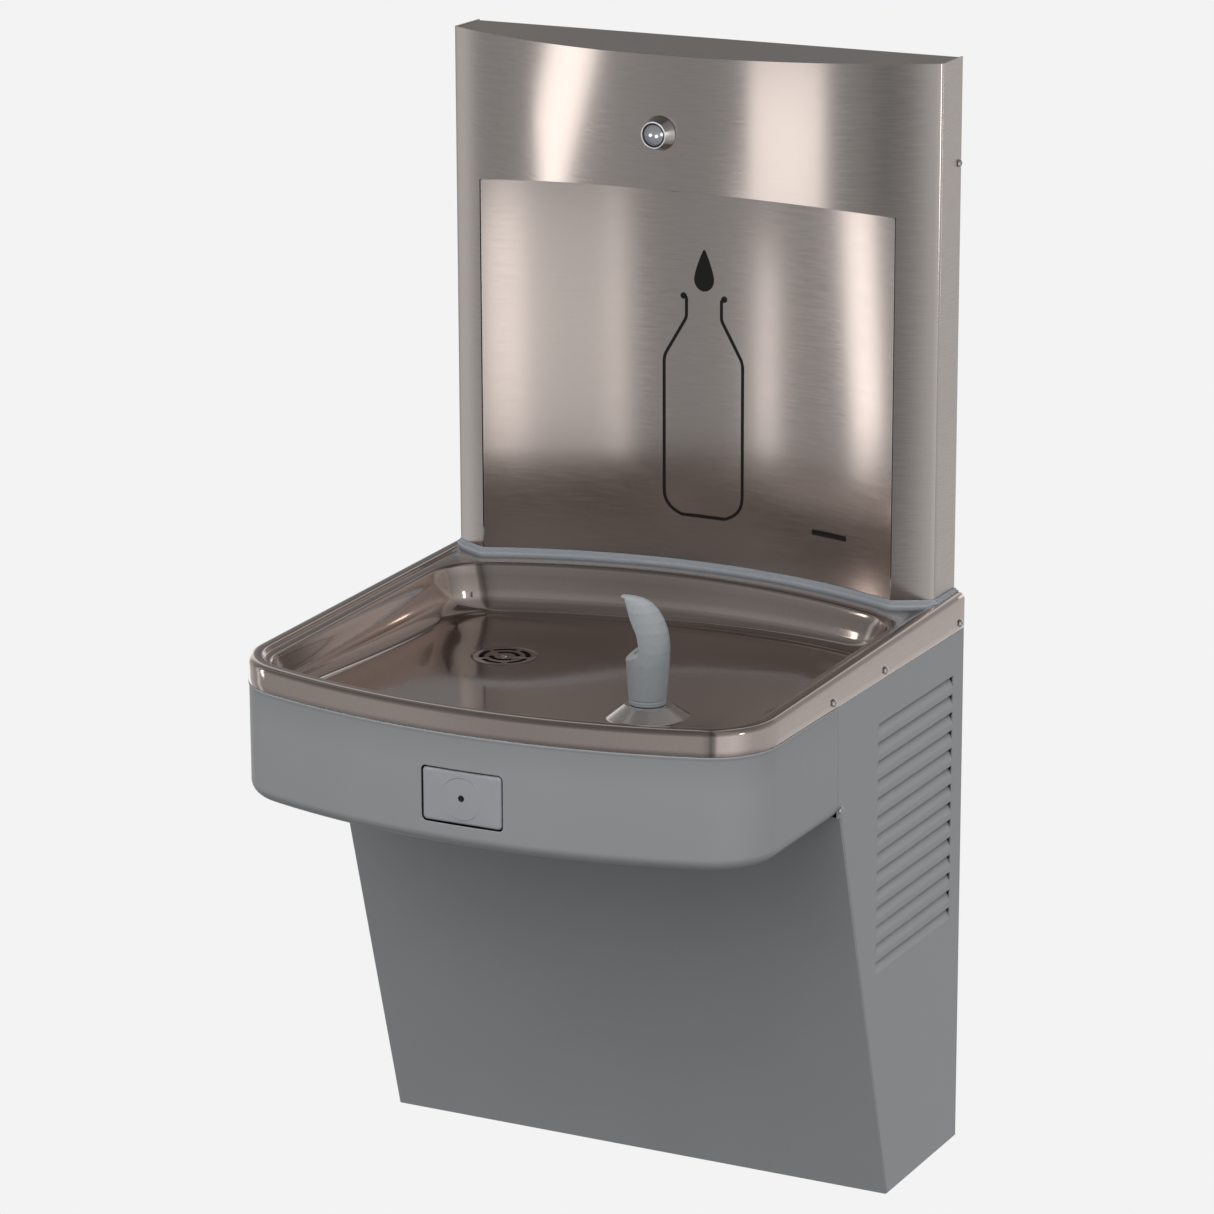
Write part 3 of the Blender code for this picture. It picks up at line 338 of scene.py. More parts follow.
def show(name, shape, look, nodes=(), body="root", sharp=35, bevel=0.0):
    """One visible piece, riding on a body, in place of the given nodes of the frame."""
    mesh = mesh_from(name, shape)
    mesh.shade_smooth()
    mesh.set_sharp_from_angle(angle=math.radians(sharp))
    mesh.materials.append(MATERIALS[look])
    thing = placed(name, mesh)
    if bevel:
        add_bevel(thing, bevel)
    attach(thing, body)
    if nodes:
        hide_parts(*nodes)
    return thing


def add_bevel(thing, width, segments=3, angle=40):
    bevel = thing.modifiers.new("edges", "BEVEL")
    bevel.width = width
    bevel.segments = segments
    bevel.limit_method = "ANGLE"
    bevel.angle_limit = math.radians(angle)
    bevel.harden_normals = False


def apply_modifiers(thing):
    """Replace the piece's mesh by what its modifiers make of it."""
    graph = bpy.context.evaluated_depsgraph_get()
    mesh = bpy.data.meshes.new_from_object(thing.evaluated_get(graph))
    thing.modifiers.clear()
    thing.data = mesh


def carve(thing, shapes, operation="DIFFERENCE"):
    """Apply an exact Boolean with each shape, and drop the tools."""
    tools = []
    for shape in shapes:
        tool = placed("tool", mesh_from("tool", shape))
        boolean = thing.modifiers.new("carve", "BOOLEAN")
        boolean.object = tool
        boolean.operation = operation
        boolean.solver = "EXACT"
        tools.append(tool)
    apply_modifiers(thing)
    for tool in tools:
        bpy.data.objects.remove(tool, do_unlink=True)


def reshade(thing, sharp=35):
    thing.data.shade_smooth()
    thing.data.set_sharp_from_angle(angle=math.radians(sharp))


# ---------------------------------------------------------------- materials

class Nodes:
    """A small helper for building one material's node tree."""

    def __init__(self, name):
        self.material = bpy.data.materials.new(name)
        self.material.use_nodes = True
        self.tree = self.material.node_tree
        self.shader = self.tree.nodes["Principled BSDF"]

    def add(self, kind, **values):
        node = self.tree.nodes.new(kind)
        for key, value in values.items():
            if hasattr(node, key) and key not in node.inputs:
                setattr(node, key, value)
            else:
                node.inputs[key].default_value = value
        return node

    def link(self, source, target):
        self.tree.links.new(source, target)

    def set(self, **values):
        for key, value in values.items():
            self.shader.inputs[key.replace("_", " ")].default_value = value

    def coordinates(self, scale):
        where = self.add("ShaderNodeTexCoord")
        mapping = self.add("ShaderNodeMapping")
        mapping.inputs["Scale"].default_value = scale
        self.link(where.outputs["Object"], mapping.inputs["Vector"])
        return mapping.outputs["Vector"]

    def noise(self, scale, detail=2.0, size=1.0, roughness=0.5):
        node = self.add("ShaderNodeTexNoise", Scale=size, Detail=detail, Roughness=roughness)
        self.link(self.coordinates(scale), node.inputs["Vector"])
        return node.outputs["Fac"]

    def spread(self, source, low, high):
        """Map a 0.3 to 0.7 noise onto a range."""
        node = self.add("ShaderNodeMapRange")
        for key, value in (("From Min", 0.3), ("From Max", 0.7), ("To Min", low), ("To Max", high)):
            node.inputs[key].default_value = value
        self.link(source, node.inputs["Value"])
        return node.outputs["Result"]

    def blend(self, source, low, high):
        """Mix two colours by a noise."""
        node = self.add("ShaderNodeMix", data_type="RGBA")
        for colour, value in ((6, low), (7, high)):
            node.inputs[colour].default_value = (*value, 1)
        self.link(source, node.inputs[0])
        return node.outputs[2]

    def bump(self, source, distance, strength=1.0):
        node = self.add("ShaderNodeBump", Strength=strength, Distance=distance)
        self.link(source, node.inputs["Height"])
        previous = self.shader.inputs["Normal"].links
        if previous:
            self.link(previous[0].from_socket, node.inputs["Normal"])
        self.link(node.outputs["Normal"], self.shader.inputs["Normal"])


def brushed(name, colour, roughness, grain, anisotropy=0.6, tangent=None, bump=0.00001,
            cloud=0.03):
    """Stainless sheet with fine scratches along one direction; grain is the noise scale."""
    n = Nodes(name)
    n.set(Metallic=1.0, Anisotropic=anisotropy)
    scratches = n.noise(grain, detail=3.0, roughness=0.6)
    clouds = n.noise((6, 6, 6), detail=3.0)
    tint = [c * 0.93 for c in colour]
    n.link(n.blend(n.spread(scratches, 0.0, 1.0), tint, colour), n.shader.inputs["Base Color"])
    rough = n.add("ShaderNodeMath", operation="ADD")
    n.link(n.spread(scratches, roughness - 0.02, roughness + 0.02), rough.inputs[0])
    n.link(n.spread(clouds, -cloud, cloud), rough.inputs[1])
    n.link(rough.outputs[0], n.shader.inputs["Roughness"])
    if bump:
        n.bump(scratches, bump)
    if tangent:
        direction = n.add("ShaderNodeTangent", direction_type="UV_MAP", uv_map=tangent)
        n.link(direction.outputs["Tangent"], n.shader.inputs["Tangent"])
    return n.material


def painted(name, colour, roughness, peel=0.00002, variation=0.04):
    """Satin powder coat: faint orange peel, slight cloudiness."""
    n = Nodes(name)
    n.set(Metallic=0.0)
    n.shader.inputs["Specular IOR Level"].default_value = 0.4
    clouds = n.noise((9, 9, 9), detail=4.0)
    darker = [c * (1 - variation) for c in colour]
    n.link(n.blend(n.spread(clouds, 0.0, 1.0), darker, colour), n.shader.inputs["Base Color"])
    n.link(n.spread(clouds, roughness - 0.03, roughness + 0.03), n.shader.inputs["Roughness"])
    n.bump(n.noise((700, 700, 700), detail=2.0), peel)
    return n.material


def plain(name, colour, roughness, metallic=0.0, speckle=(300, 300, 300), bump=0.00001,
          variation=0.06):
    """A moulded or machined surface with a fine texture of its own."""
    n = Nodes(name)
    n.set(Metallic=metallic)
    grain = n.noise(speckle, detail=3.0)
    darker = [c * (1 - variation) for c in colour]
    n.link(n.blend(n.spread(grain, 0.0, 1.0), darker, colour), n.shader.inputs["Base Color"])
    n.link(n.spread(grain, roughness - 0.03, roughness + 0.03), n.shader.inputs["Roughness"])
    n.bump(grain, bump)
    return n.material


def glowing(name, colour):
    """A surface of one even brightness."""
    tone = bpy.data.materials.new(name)
    tone.use_nodes = True
    shader = tone.node_tree.nodes["Principled BSDF"]
    shader.inputs["Base Color"].default_value = (0, 0, 0, 1)
    shader.inputs["Specular IOR Level"].default_value = 0.0
    shader.inputs["Emission Color"].default_value = (*colour, 1)
    shader.inputs["Emission Strength"].default_value = 1.0
    return tone


def make_materials():
    warm = (0.74, 0.675, 0.64)
    made = {
        "header": brushed("steel_header", warm, 0.17, (50, 50, 900), 0.0, bump=0.0,
                          cloud=0.01),
        "side": brushed("steel_side", warm, 0.28, (40, 40, 900), 0.5, "grain", 0.0),
        "bowl": brushed("steel_bowl", (0.80, 0.69, 0.64), 0.09, (900, 60, 900), 0.0,
                        bump=0.000001, cloud=0.01),
        "cap": brushed("steel_cap", warm, 0.33, (20, 900, 900), 0.4, "grain"),
        "paint": painted("grey_paint", (0.245, 0.252, 0.260), 0.42),
        "pad": painted("pad_plastic", (0.272, 0.279, 0.294), 0.48, 0.00003),
        "bubbler": plain("bubbler_plastic", (0.232, 0.250, 0.262), 0.36),
        "gasket": plain("gasket_rubber", (0.20, 0.215, 0.235), 0.45),
        "chrome": plain("chrome", (0.82, 0.82, 0.82), 0.08, 1.0, (60, 60, 60), 0.000001, 0.02),
        "zinc": plain("zinc_sheet", (0.46, 0.47, 0.48), 0.42, 1.0, (45, 45, 45), 0.000004, 0.25),
        "black": plain("black_plastic", (0.018, 0.018, 0.019), 0.38),
        "enamel": plain("black_enamel", (0.014, 0.014, 0.015), 0.18, 0.0, (80, 80, 80)),
        "foam": plain("tank_foam", (0.035, 0.036, 0.040), 0.85, 0.0, (500, 500, 500), 0.0004),
        "brass": plain("brass", (0.62, 0.45, 0.20), 0.25, 1.0),
        "copper": plain("copper", (0.72, 0.36, 0.22), 0.28, 1.0),
        "boss": plain("steel_boss", (0.82, 0.76, 0.74), 0.14, 0.93, (60, 60, 60), 0.000001, 0.02),
        "ceiling": plain("satin_steel", (0.42, 0.40, 0.38), 0.5, 0.5),
        "white": plain("white_plastic", (0.68, 0.68, 0.66), 0.40),
        "ink": plain("black_ink", (0.008, 0.007, 0.006), 0.35),
        "speckled": plain("speckled_grey", (0.62, 0.62, 0.65), 0.30, 0.2, (900, 900, 900),
                          0.0002, 0.5),
        # Glowing dots behind the sensor window: painted glints, not lamps of the fountain.
        "glint": glowing("painted_glint_white", (2.2, 2.2, 2.25)),
        # A near-black glowing surface: painted shade for the dark inside of the drain under the
        # slots.
        "painted_shade": glowing("painted_shade_drain", (0.006, 0.005, 0.005)),
        # A light, mostly matt copy of the chrome for the bezel's rim: painted highlight.
        "edge": plain("painted_highlight_edge", (0.78, 0.78, 0.80), 0.30, 0.3),
    }
    lens = Nodes("sensor_lens")
    lens.set(Roughness=0.05, Alpha=0.35)
    lens.shader.inputs["Base Color"].default_value = (0.40, 0.41, 0.44, 1)
    made["lens"] = lens.material
    made["fins"] = made["zinc"]
    return made


MATERIALS = make_materials()


# ---------------------------------------------------------------- plan outlines

def front_outline(half, depth, front_radius, corner, corner_steps=20, front_steps=56):
    """Corner, bowed front and corner, from the left side to the right, seen from above."""
    centre_y = -depth + front_radius
    corner_x = half - corner
    corner_y = centre_y - math.sqrt((front_radius - corner) ** 2 - corner_x ** 2)
    lean = math.atan2(corner_x, centre_y - corner_y)
    left = []
    for i in range(corner_steps + 1):
        angle = (math.pi / 2 - lean) * i / corner_steps
        left.append((-corner_x - corner * math.cos(angle), corner_y - corner * math.sin(angle)))
    middle = []
    for i in range(1, front_steps):
        angle = lean * (2 * i / front_steps - 1)
        middle.append((front_radius * math.sin(angle), centre_y - front_radius * math.cos(angle)))
    return left + middle + [(-x, y) for x, y in reversed(left)]


def rim_outline(inset, back, side_steps=1):
    """The rim's plan as an open line from the left back end round to the right one."""
    half = WIDTH / 2 - inset
    front = front_outline(half, DEPTH - inset, FRONT_RADIUS - inset, CORNER_RADIUS - inset)
    side = spread(-back, front[0][1], side_steps)[:-1]
    return [(-half, y) for y in side] + front + [(half, y) for y in reversed(side)]


def sag(x, radius):
    return radius - math.sqrt(radius ** 2 - x ** 2)


def shroud_radius():
    return (SHROUD_HALF ** 2 + SHROUD_BOW ** 2) / (2 * SHROUD_BOW)


def shroud_front_y(x, offset=0.0):
    centre = -SHROUD_SIDE_DEPTH - SHROUD_BOW + shroud_radius()
    return centre - math.sqrt((shroud_radius() + offset) ** 2 - x ** 2)


def alcove_y(x, offset=0.0):
    centre = -ALCOVE_BACK - ALCOVE_RADIUS
    return centre + math.sqrt((ALCOVE_RADIUS - offset) ** 2 - x ** 2)


def meeting_x(front_offset, alcove_offset):
    low, high = 0.15, 0.21
    for _ in range(40):
        middle = (low + high) / 2
        if alcove_y(middle, alcove_offset) > shroud_front_y(middle, front_offset):
            low = middle
        else:
            high = middle
    return low


# ---------------------------------------------------------------- basin

def top_height(y):
    return RIM_TOP + RIM_SLOPE * (y + SLOPE_DATUM)


def basin_ring(half, depth, front_radius, corner, back_y, back_corner, height):
    """A closed ring: left side, bowed front, right side, back line; height(x, y, back)."""
    ring = []
    corner_start = back_y(half) - back_corner
    front = front_outline(half, depth, front_radius, corner)
    side_ys = spread(corner_start, front[0][1], 26)[:-1]
    ring += [(-half, y, 0.0) for y in side_ys]
    ring += [(x, y, 0.0) for x, y in front]
    ring += [(half, y, 0.0) for y in reversed(side_ys)]
    corner_x = half - back_corner
    bend = []
    for i in range(1, 13):
        t = i / 12
        x = half * ((1 - t) ** 2 + 2 * t * (1 - t)) + corner_x * t ** 2
        y = corner_start * (1 - t) ** 2 + back_y(half) * 2 * t * (1 - t) + back_y(corner_x) * t ** 2
        bend.append((x, y, t))
    ring += bend
    ring += [(x, back_y(x), 1.0) for x in spread(corner_x, -corner_x, 48)[1:-1]]
    ring += [(-x, y, back) for x, y, back in reversed(bend)]
    return [(x, y, height(x, y, back)) for x, y, back in ring]


def rim_ring(inset, drop, step):
    """A ring of the bead, drop below its top; behind, it lies at the deck's height."""
    back_line = -WALL_GAP - step

    def height(x, y, back):
        side = top_height(y) - drop
        deck = top_height(y) - LIP_DROP - step / 10
        return side * (1 - back) + deck * back

    return basin_ring(WIDTH / 2 - inset, DEPTH - inset, FRONT_RADIUS - inset,
                      CORNER_RADIUS - inset, lambda x: back_line, 0.0005, height)


def skirt_ring(inset, z):
    return basin_ring(WIDTH / 2 - inset, DEPTH - inset, FRONT_RADIUS - inset,
                      CORNER_RADIUS - inset, lambda x: -WALL_GAP - inset, 0.0005,
                      lambda x, y, back: z)


def bowl_ring(inset, height):
    return basin_ring(BOWL_HALF - inset, DEPTH - BOWL_FRONT - inset,
                      FRONT_RADIUS - BOWL_FRONT - inset, max(BOWL_CORNER - inset, 0.012),
                      lambda x: -BOWL_BACK - inset - sag(x, ALCOVE_RADIUS), 0.030,
                      lambda x, y, back: height(x, y))


def floor_height(x, y):
    away = max(math.hypot(x - DRAIN[0], y - DRAIN[1]) - DRAIN_FLAT, 0.0)
    return RIM_TOP - FLOOR_DEPTH + FLOOR_SLOPE * away


def drain_ring(radius, height, around):
    ring = []
    for x, y, _ in around:
        angle = math.atan2(y - DRAIN[1], x - DRAIN[0])
        ring.append((DRAIN[0] + radius * math.cos(angle), DRAIN[1] + radius * math.sin(angle),
                     height))
    return ring


def wall_section():
    """(inset, share of the drop, extra drop) points down the bowl's wall, from lip to floor."""
    points = []
    for degrees in (0, 15, 30, 45, 60, 75, 90):
        angle = math.radians(degrees)
        points.append((-0.0035 + 0.0035 * math.sin(angle), 0.0, 0.0035 * (1 - math.cos(angle))))
    for share in (0.2, 0.4, 0.6):
        points.append((0.0004 + 0.012 * share, share, 0.0035 * (1 - share)))
    inset, share = points[-1][0], points[-1][1]
    for i in range(1, 8):
        angle = math.radians(90 * i / 7)
        points.append((inset + 0.014 * (1 - math.cos(angle)),
                       share + (1 - share) * math.sin(angle), 0.0))
    return points


def bowl_rings():
    def at(inset, share, drop):
        def height(x, y):
            lip = top_height(y) - LIP_DROP - drop
            return lip + (floor_height(x, y) - lip) * share
        return bowl_ring(inset, height)

    rings = [at(*point) for point in wall_section()]
    rim = rings[-1]
    hole = drain_ring(DRAIN_FLAT, 0, rim)
    for share in (0.12, 0.3, 0.5, 0.7, 0.85, 0.94):
        ring = []
        for near, far in zip(hole, rim):
            x = far[0] + (near[0] - far[0]) * share
            y = far[1] + (near[1] - far[1]) * share
            ring.append((x, y, floor_height(x, y)))
        rings.append(ring)
    low = RIM_TOP - FLOOR_DEPTH
    for radius, drop in ((DRAIN_FLAT, 0.0), (0.0261, 0.0), (0.0259, 0.0003),
                         (0.0259, 0.0014), (DRAIN_HOLE, 0.0014)):
        rings.append(drain_ring(radius, low - drop, rim))
    return rings


def bead_rings():
    """Up the outer edge, over the flat top and down the inner edge to the deck."""
    rings = []
    for index, degrees in enumerate(range(0, 91, 10)):
        angle = math.radians(degrees)
        rings.append(rim_ring(BEAD - BEAD * math.cos(angle), BEAD - BEAD * math.sin(angle),
                              0.0001 * index))
    for index, degrees in enumerate((0, 12, 24, 36, 48)):
        angle = math.radians(degrees)
        rings.append(rim_ring(BEAD_WIDTH + 0.0045 * math.sin(angle),
                              0.0002 + 0.0045 * (1 - math.cos(angle)), 0.0010 + 0.0003 * index))
    for index, (inset, drop) in enumerate(((0.0126, 0.0026), (0.0132, 0.0033), (0.0139, 0.0037))):
        rings.append(rim_ring(inset, drop, 0.0026 + 0.0004 * index))
    return rings


def basin():
    hem = [skirt_ring(0.0010, SKIRT_BOTTOM + 0.0002), skirt_ring(0.0003, SKIRT_BOTTOM),
           skirt_ring(0.0, SKIRT_BOTTOM + 0.0006)]
    hem += [skirt_ring(0.0, SKIRT_BOTTOM + (RIM_TOP - 0.012 - SKIRT_BOTTOM) * s)
            for s in (0.5, 0.9)]
    rings = hem + bead_rings() + bowl_rings()
    thing = show("basin", loft(rings, caps=False), "bowl", ["basin_top"], sharp=60)
    solid = thing.modifiers.new("sheet", "SOLIDIFY")
    solid.thickness = 0.0012
    solid.offset = -1.0


def boss():
    """The raised seat under the bubbler, with a flared foot on the bowl's floor."""
    profile = [(0.0070, 1.0, 0.0), (0.0178, 1.0, 0.0), (0.0184, 1.0, -0.0001),
               (0.0188, 1.0, -0.0005), (0.0320, 0.0, 0.0008), (0.0325, 0.0, 0.0003),
               (0.0332, 0.0, 0.0), (0.0345, 0.0, -0.0006)]
    rings = []
    for radius, top, rise in profile:
        ring = []
        for x, y in circle(96, radius, BOSS):
            base = BOSS_TOP if top else floor_height(x, y)
            ring.append((x, y, base + rise))
        rings.append(ring)
    show("bubbler_boss", loft(rings, caps=False), "boss", sharp=60)


def drain():
    """A flush strainer with two rings of arc slots and a small screw in its middle, over a glowing
    near-black disc that is painted shade.
    """
    low = RIM_TOP - FLOOR_DEPTH
    profile = [(0, -0.0002), (0.0257, -0.0002), (0.0257, 0.00005), (0.0262, 0.00005),
               (0.0260, 0.0001), (0, 0.0001)]
    strainer = show("strainer", moved(turned(profile, 96), (*DRAIN, low)),
                    "bowl", ["drain_strainer"])
    # A near-black glowing disc just under the strainer: painted shade, standing in for the dark
    # drain seen through the slots.
    drain_shade_disc = moved(turned([(0, -0.0012), (0.0256, -0.0012), (0.0256, -0.0005), (0, -0.0005)], 64),
                 (*DRAIN, low))
    show("drain_shade_disc", drain_shade_disc, "painted_shade")
    slots = []
    for radius, count, fill, start in ((0.0192, 5, 0.68, 0.35), (0.0108, 2, 0.62, 0.5)):
        for i in range(count):
            first = start + 2 * math.pi * i / count
            slots.append(arc_slot(radius, 0.0042, first, 2 * math.pi / count * fill))
    carve(strainer, [moved(merged(slots), (*DRAIN, low))])
    reshade(strainer)
    head = [(0, -0.0005), (0.0030, -0.0005), (0.0030, 0.0006), (0.0024, 0.0012), (0, 0.0014)]
    screw = show("strainer_screw", moved(turned(head, 32), (*DRAIN, low)), "chrome")
    carve(screw, [box((DRAIN[0] - 0.004, DRAIN[1] - 0.0004, low + 0.0007),
                      (DRAIN[0] + 0.004, DRAIN[1] + 0.0004, low + 0.0060))])
    reshade(screw)


def arc_slot(radius, width, start, sweep, steps=24):
    """An upright arc-shaped cutter with round ends."""
    outer = [(radius + width / 2, a) for a in spread(start, start + sweep, steps)]
    inner = [(radius - width / 2, a) for a in spread(start + sweep, start, steps)]
    line = [(r * math.cos(a), r * math.sin(a)) for r, a in outer]
    for end, after in ((start + sweep, inner), (start, [])):
        centre = (radius * math.cos(end), radius * math.sin(end))
        side = 0 if end != start else math.pi
        for turn in spread(end + side, end + side + math.pi, 8)[1:-1]:
            line.append((centre[0] + width / 2 * math.cos(turn),
                         centre[1] + width / 2 * math.sin(turn)))
        line += [(r * math.cos(a), r * math.sin(a)) for r, a in after]
    return prism(line, -0.002, 0.006)


def bubbler():
    """The mouthguard: a round foot, a slanted facet with the orifice, and a leaning hood; a black
    disc deep in the orifice is painted shade.
    """
    sections = [  # height, left side, right side, half depth
        (0.000, -0.0146, 0.0146, 0.0146), (0.0036, -0.0149, 0.0149, 0.0149),
        (0.0040, -0.0146, 0.0146, 0.0146), (0.0046, -0.0146, 0.0146, 0.0146),
        (0.0050, -0.0150, 0.0150, 0.0150), (0.0200, -0.0160, 0.0162, 0.0158),
        (0.0365, -0.0172, 0.0173, 0.0165), (0.0465, -0.0178, 0.0177, 0.0163),
        (0.0540, -0.0184, 0.0173, 0.0158), (0.0630, -0.0192, 0.0160, 0.0149),
        (0.0720, -0.0200, 0.0130, 0.0133), (0.0800, -0.0206, 0.0088, 0.0113),
        (0.0860, -0.0209, 0.0038, 0.0088), (0.0895, -0.0211, -0.0020, 0.0068),
        (0.0915, -0.0208, -0.0095, 0.0048), (0.0923, -0.0200, -0.0150, 0.0026),
    ]
    rings = []
    for height, left, right, depth in sections:
        rings.append([((left + right) / 2 + (right - left) / 2 * x, depth * y,
                       height * BUBBLER_SCALE) for x, y in circle(96)])
    foot = (*BOSS, BOSS_TOP + GAP)
    body = show("mouthguard", moved(spun(loft(rings)), foot), "bubbler", ["bubbler"])
    hood = [(-0.0175, 0.0353), (-0.0064, 0.0425), (-0.0070, 0.0510), (-0.0087, 0.0590),
            (-0.0111, 0.0640), (-0.0133, 0.0690), (-0.0160, 0.0780), (-0.0180, 0.0850),
            (-0.0300, 0.0865), (-0.0300, 0.0280)]
    carve(body, [moved(spun(prism(hood, -0.03, 0.03, "y")), foot)])
    remesh = body.modifiers.new("blend", "REMESH")
    remesh.mode = "VOXEL"
    remesh.voxel_size = 0.00035
    smooth = body.modifiers.new("smooth", "SMOOTH")
    smooth.iterations = 2
    smooth.factor = 0.5
    apply_modifiers(body)
    spout = moved(turned([(0.0018, -0.010), (0.0018, 0.010)], 24), ORIFICE, ORIFICE_AXIS)
    carve(body, [moved(spun(spout), foot)])
    reshade(body, 50)
    # A black disc deep in the orifice: painted shade for the dark inside of the spout hole.
    plug = moved(turned([(0, -0.006), (0.0018, -0.006), (0.0018, -0.0012), (0, -0.0012)], 24),
                 ORIFICE, ORIFICE_AXIS)
    show("orifice_shade_plug", moved(spun(plug), foot), "ink")


def spun(shape):
    """Turn the mouthguard's parts about their upright axis, mouth towards the user."""
    turn = Matrix.Rotation(BUBBLER_TURN, 4, "Z")
    return [tuple(turn @ Vector(v)) for v in shape[0]], shape[1]


# ---------------------------------------------------------------- cabinet

def front_panel_y(height):
    along = (height - CABINET_BOTTOM) / (APRON_BOTTOM - CABINET_BOTTOM)
    return -(CABINET_BOTTOM_DEPTH + (FRONT_TOP_DEPTH - CABINET_BOTTOM_DEPTH) * along)


def side_panel(name, side):
    """A flat sheet with windows, and a curved blade sunk behind each window."""
    inner = 0.0019
    edge_top = APRON_BOTTOM - 0.0004
    outline = [
        (-WALL_GAP, CABINET_BOTTOM), (front_panel_y(CABINET_BOTTOM) + inner, CABINET_BOTTOM),
        (front_panel_y(edge_top) + inner, edge_top), (-SEAM, APRON_BOTTOM),
        (-SEAM, SKIRT_BOTTOM - GAP), (-WALL_GAP, SKIRT_BOTTOM - GAP),
    ]
    sheet = prism(outline, CABINET_HALF - SHEET, CABINET_HALF, "x")
    tongue = box((CABINET_HALF - 0.0024, -SEAM + 0.012, SKIRT_BOTTOM - 0.012),
                 (CABINET_HALF - 0.0009, -0.008, SKIRT_BOTTOM + 0.0095))
    windows, blades = [], []
    for i in range(LOUVRE_COUNT):
        top = LOUVRE_TOP - i * LOUVRE_PITCH
        corners = [(-LOUVRE_FRONT, top - LOUVRE_HEIGHT - 0.0016),
                   (-LOUVRE_BACK, top - LOUVRE_HEIGHT - 0.0016),
                   (-LOUVRE_BACK, top), (-LOUVRE_FRONT, top)]
        windows.append(prism(rounded(corners, (0.0006,) * 4, 3), CABINET_HALF - 0.004,
                             CABINET_HALF + 0.004, "x"))
        blades.append(louvre_blade(top))
    if side < 0:
        sheet, tongue = mirrored(sheet), mirrored(tongue)
        windows = [mirrored(shape) for shape in windows]
        blades = [mirrored(shape) for shape in blades]
    panel = show(f"{name}_sheet", sheet, "paint", [name])
    carve(panel, [merged(windows)])
    reshade(panel)
    add_bevel(panel, 0.00035, 2)
    show(f"{name}_louvres", merged(blades), "paint", sharp=50)
    show(f"{name}_tongue", tongue, "paint")


def louvre_blade(top):
    """One formed blade: flush with the sheet at its foot, sunk at its upper edge."""
    foot = top - LOUVRE_HEIGHT - 0.0018
    rim = top - 0.0016
    outer, under = [], []
    for step in spread(0.0, 1.0, 14):
        height = foot + (rim - foot) * step
        sink = LOUVRE_SINK * (0.35 * step + 0.65 * step ** 2.2)
        outer.append((CABINET_HALF - sink, height))
        under.append((CABINET_HALF - sink - 0.0010, height - 0.0003))
    return prism(outer + under[::-1], -LOUVRE_FRONT - 0.0008, -LOUVRE_BACK + 0.0008, "y")


def apron_section(inset):
    """Insets and heights of one face of the apron, from its top edge to its inner flange."""
    outer = FACE_INSET
    roll = APRON_ROLL - inset
    centre = APRON_BOTTOM + APRON_ROLL
    top = SKIRT_BOTTOM - GAP
    lip = -0.0006 if inset == 0 else 0.0
    section = [(outer + inset + lip * 0.6, top), (outer + inset + lip, top - 0.0004),
               (outer + inset + lip, top - 0.0012), (outer + inset + lip * 0.4, top - 0.0022),
               (outer + inset, top - 0.0034), (outer + inset, top - 0.030)]
    for degrees in spread(0, 90, 14):
        angle = math.radians(degrees)
        section.append((outer + APRON_ROLL - roll * math.cos(angle),
                        centre - roll * math.sin(angle)))
    section.append((outer + 0.030, APRON_BOTTOM + inset))
    return section


def front_apron():
    """A sheet wrapped round the front and rolled under, with a window for the push pad."""
    section = apron_section(0.0) + apron_section(SHEET)[::-1]
    lines = [rim_outline(inset, SEAM + GAP, 12) for inset, _ in section]
    rings = []
    for i in range(len(lines[0])):
        rings.append([(*line[i], height) for line, (_, height) in zip(lines, section)])
    apron = show("apron", loft(rings), "paint", ["front_apron"])
    window = rounded_window(PAD_WIDTH / 2 + PAD_SLOT, PAD_HEIGHT / 2 + PAD_SLOT, 0.0042)
    carve(apron, [prism(window, -DEPTH - 0.01, -DEPTH + 0.02, "y")])
    reshade(apron, 50)
    add_bevel(apron, 0.0003, 2, 60)


def lower_front():
    top = APRON_BOTTOM - 0.0004
    face = [(front_panel_y(CABINET_BOTTOM), CABINET_BOTTOM), (front_panel_y(top), top)]
    rear = [(y + 0.0016, z) for y, z in reversed(face)]
    show("lower_front", prism(face + rear, -CABINET_HALF, CABINET_HALF, "x"), "paint",
         ["lower_front_panel"], bevel=0.0006)


def rounded_window(half_width, half_height, radius):
    corners = [(half_width, -half_height), (half_width, half_height),
               (-half_width, half_height), (-half_width, -half_height)]
    outline = rounded(corners, (radius,) * 4, 8)
    return [(x, PAD_CENTRE_Z + z) for x, z in outline]


def apron_front_y(x):
    return -DEPTH + FACE_INSET + sag(x, FRONT_RADIUS - FACE_INSET)


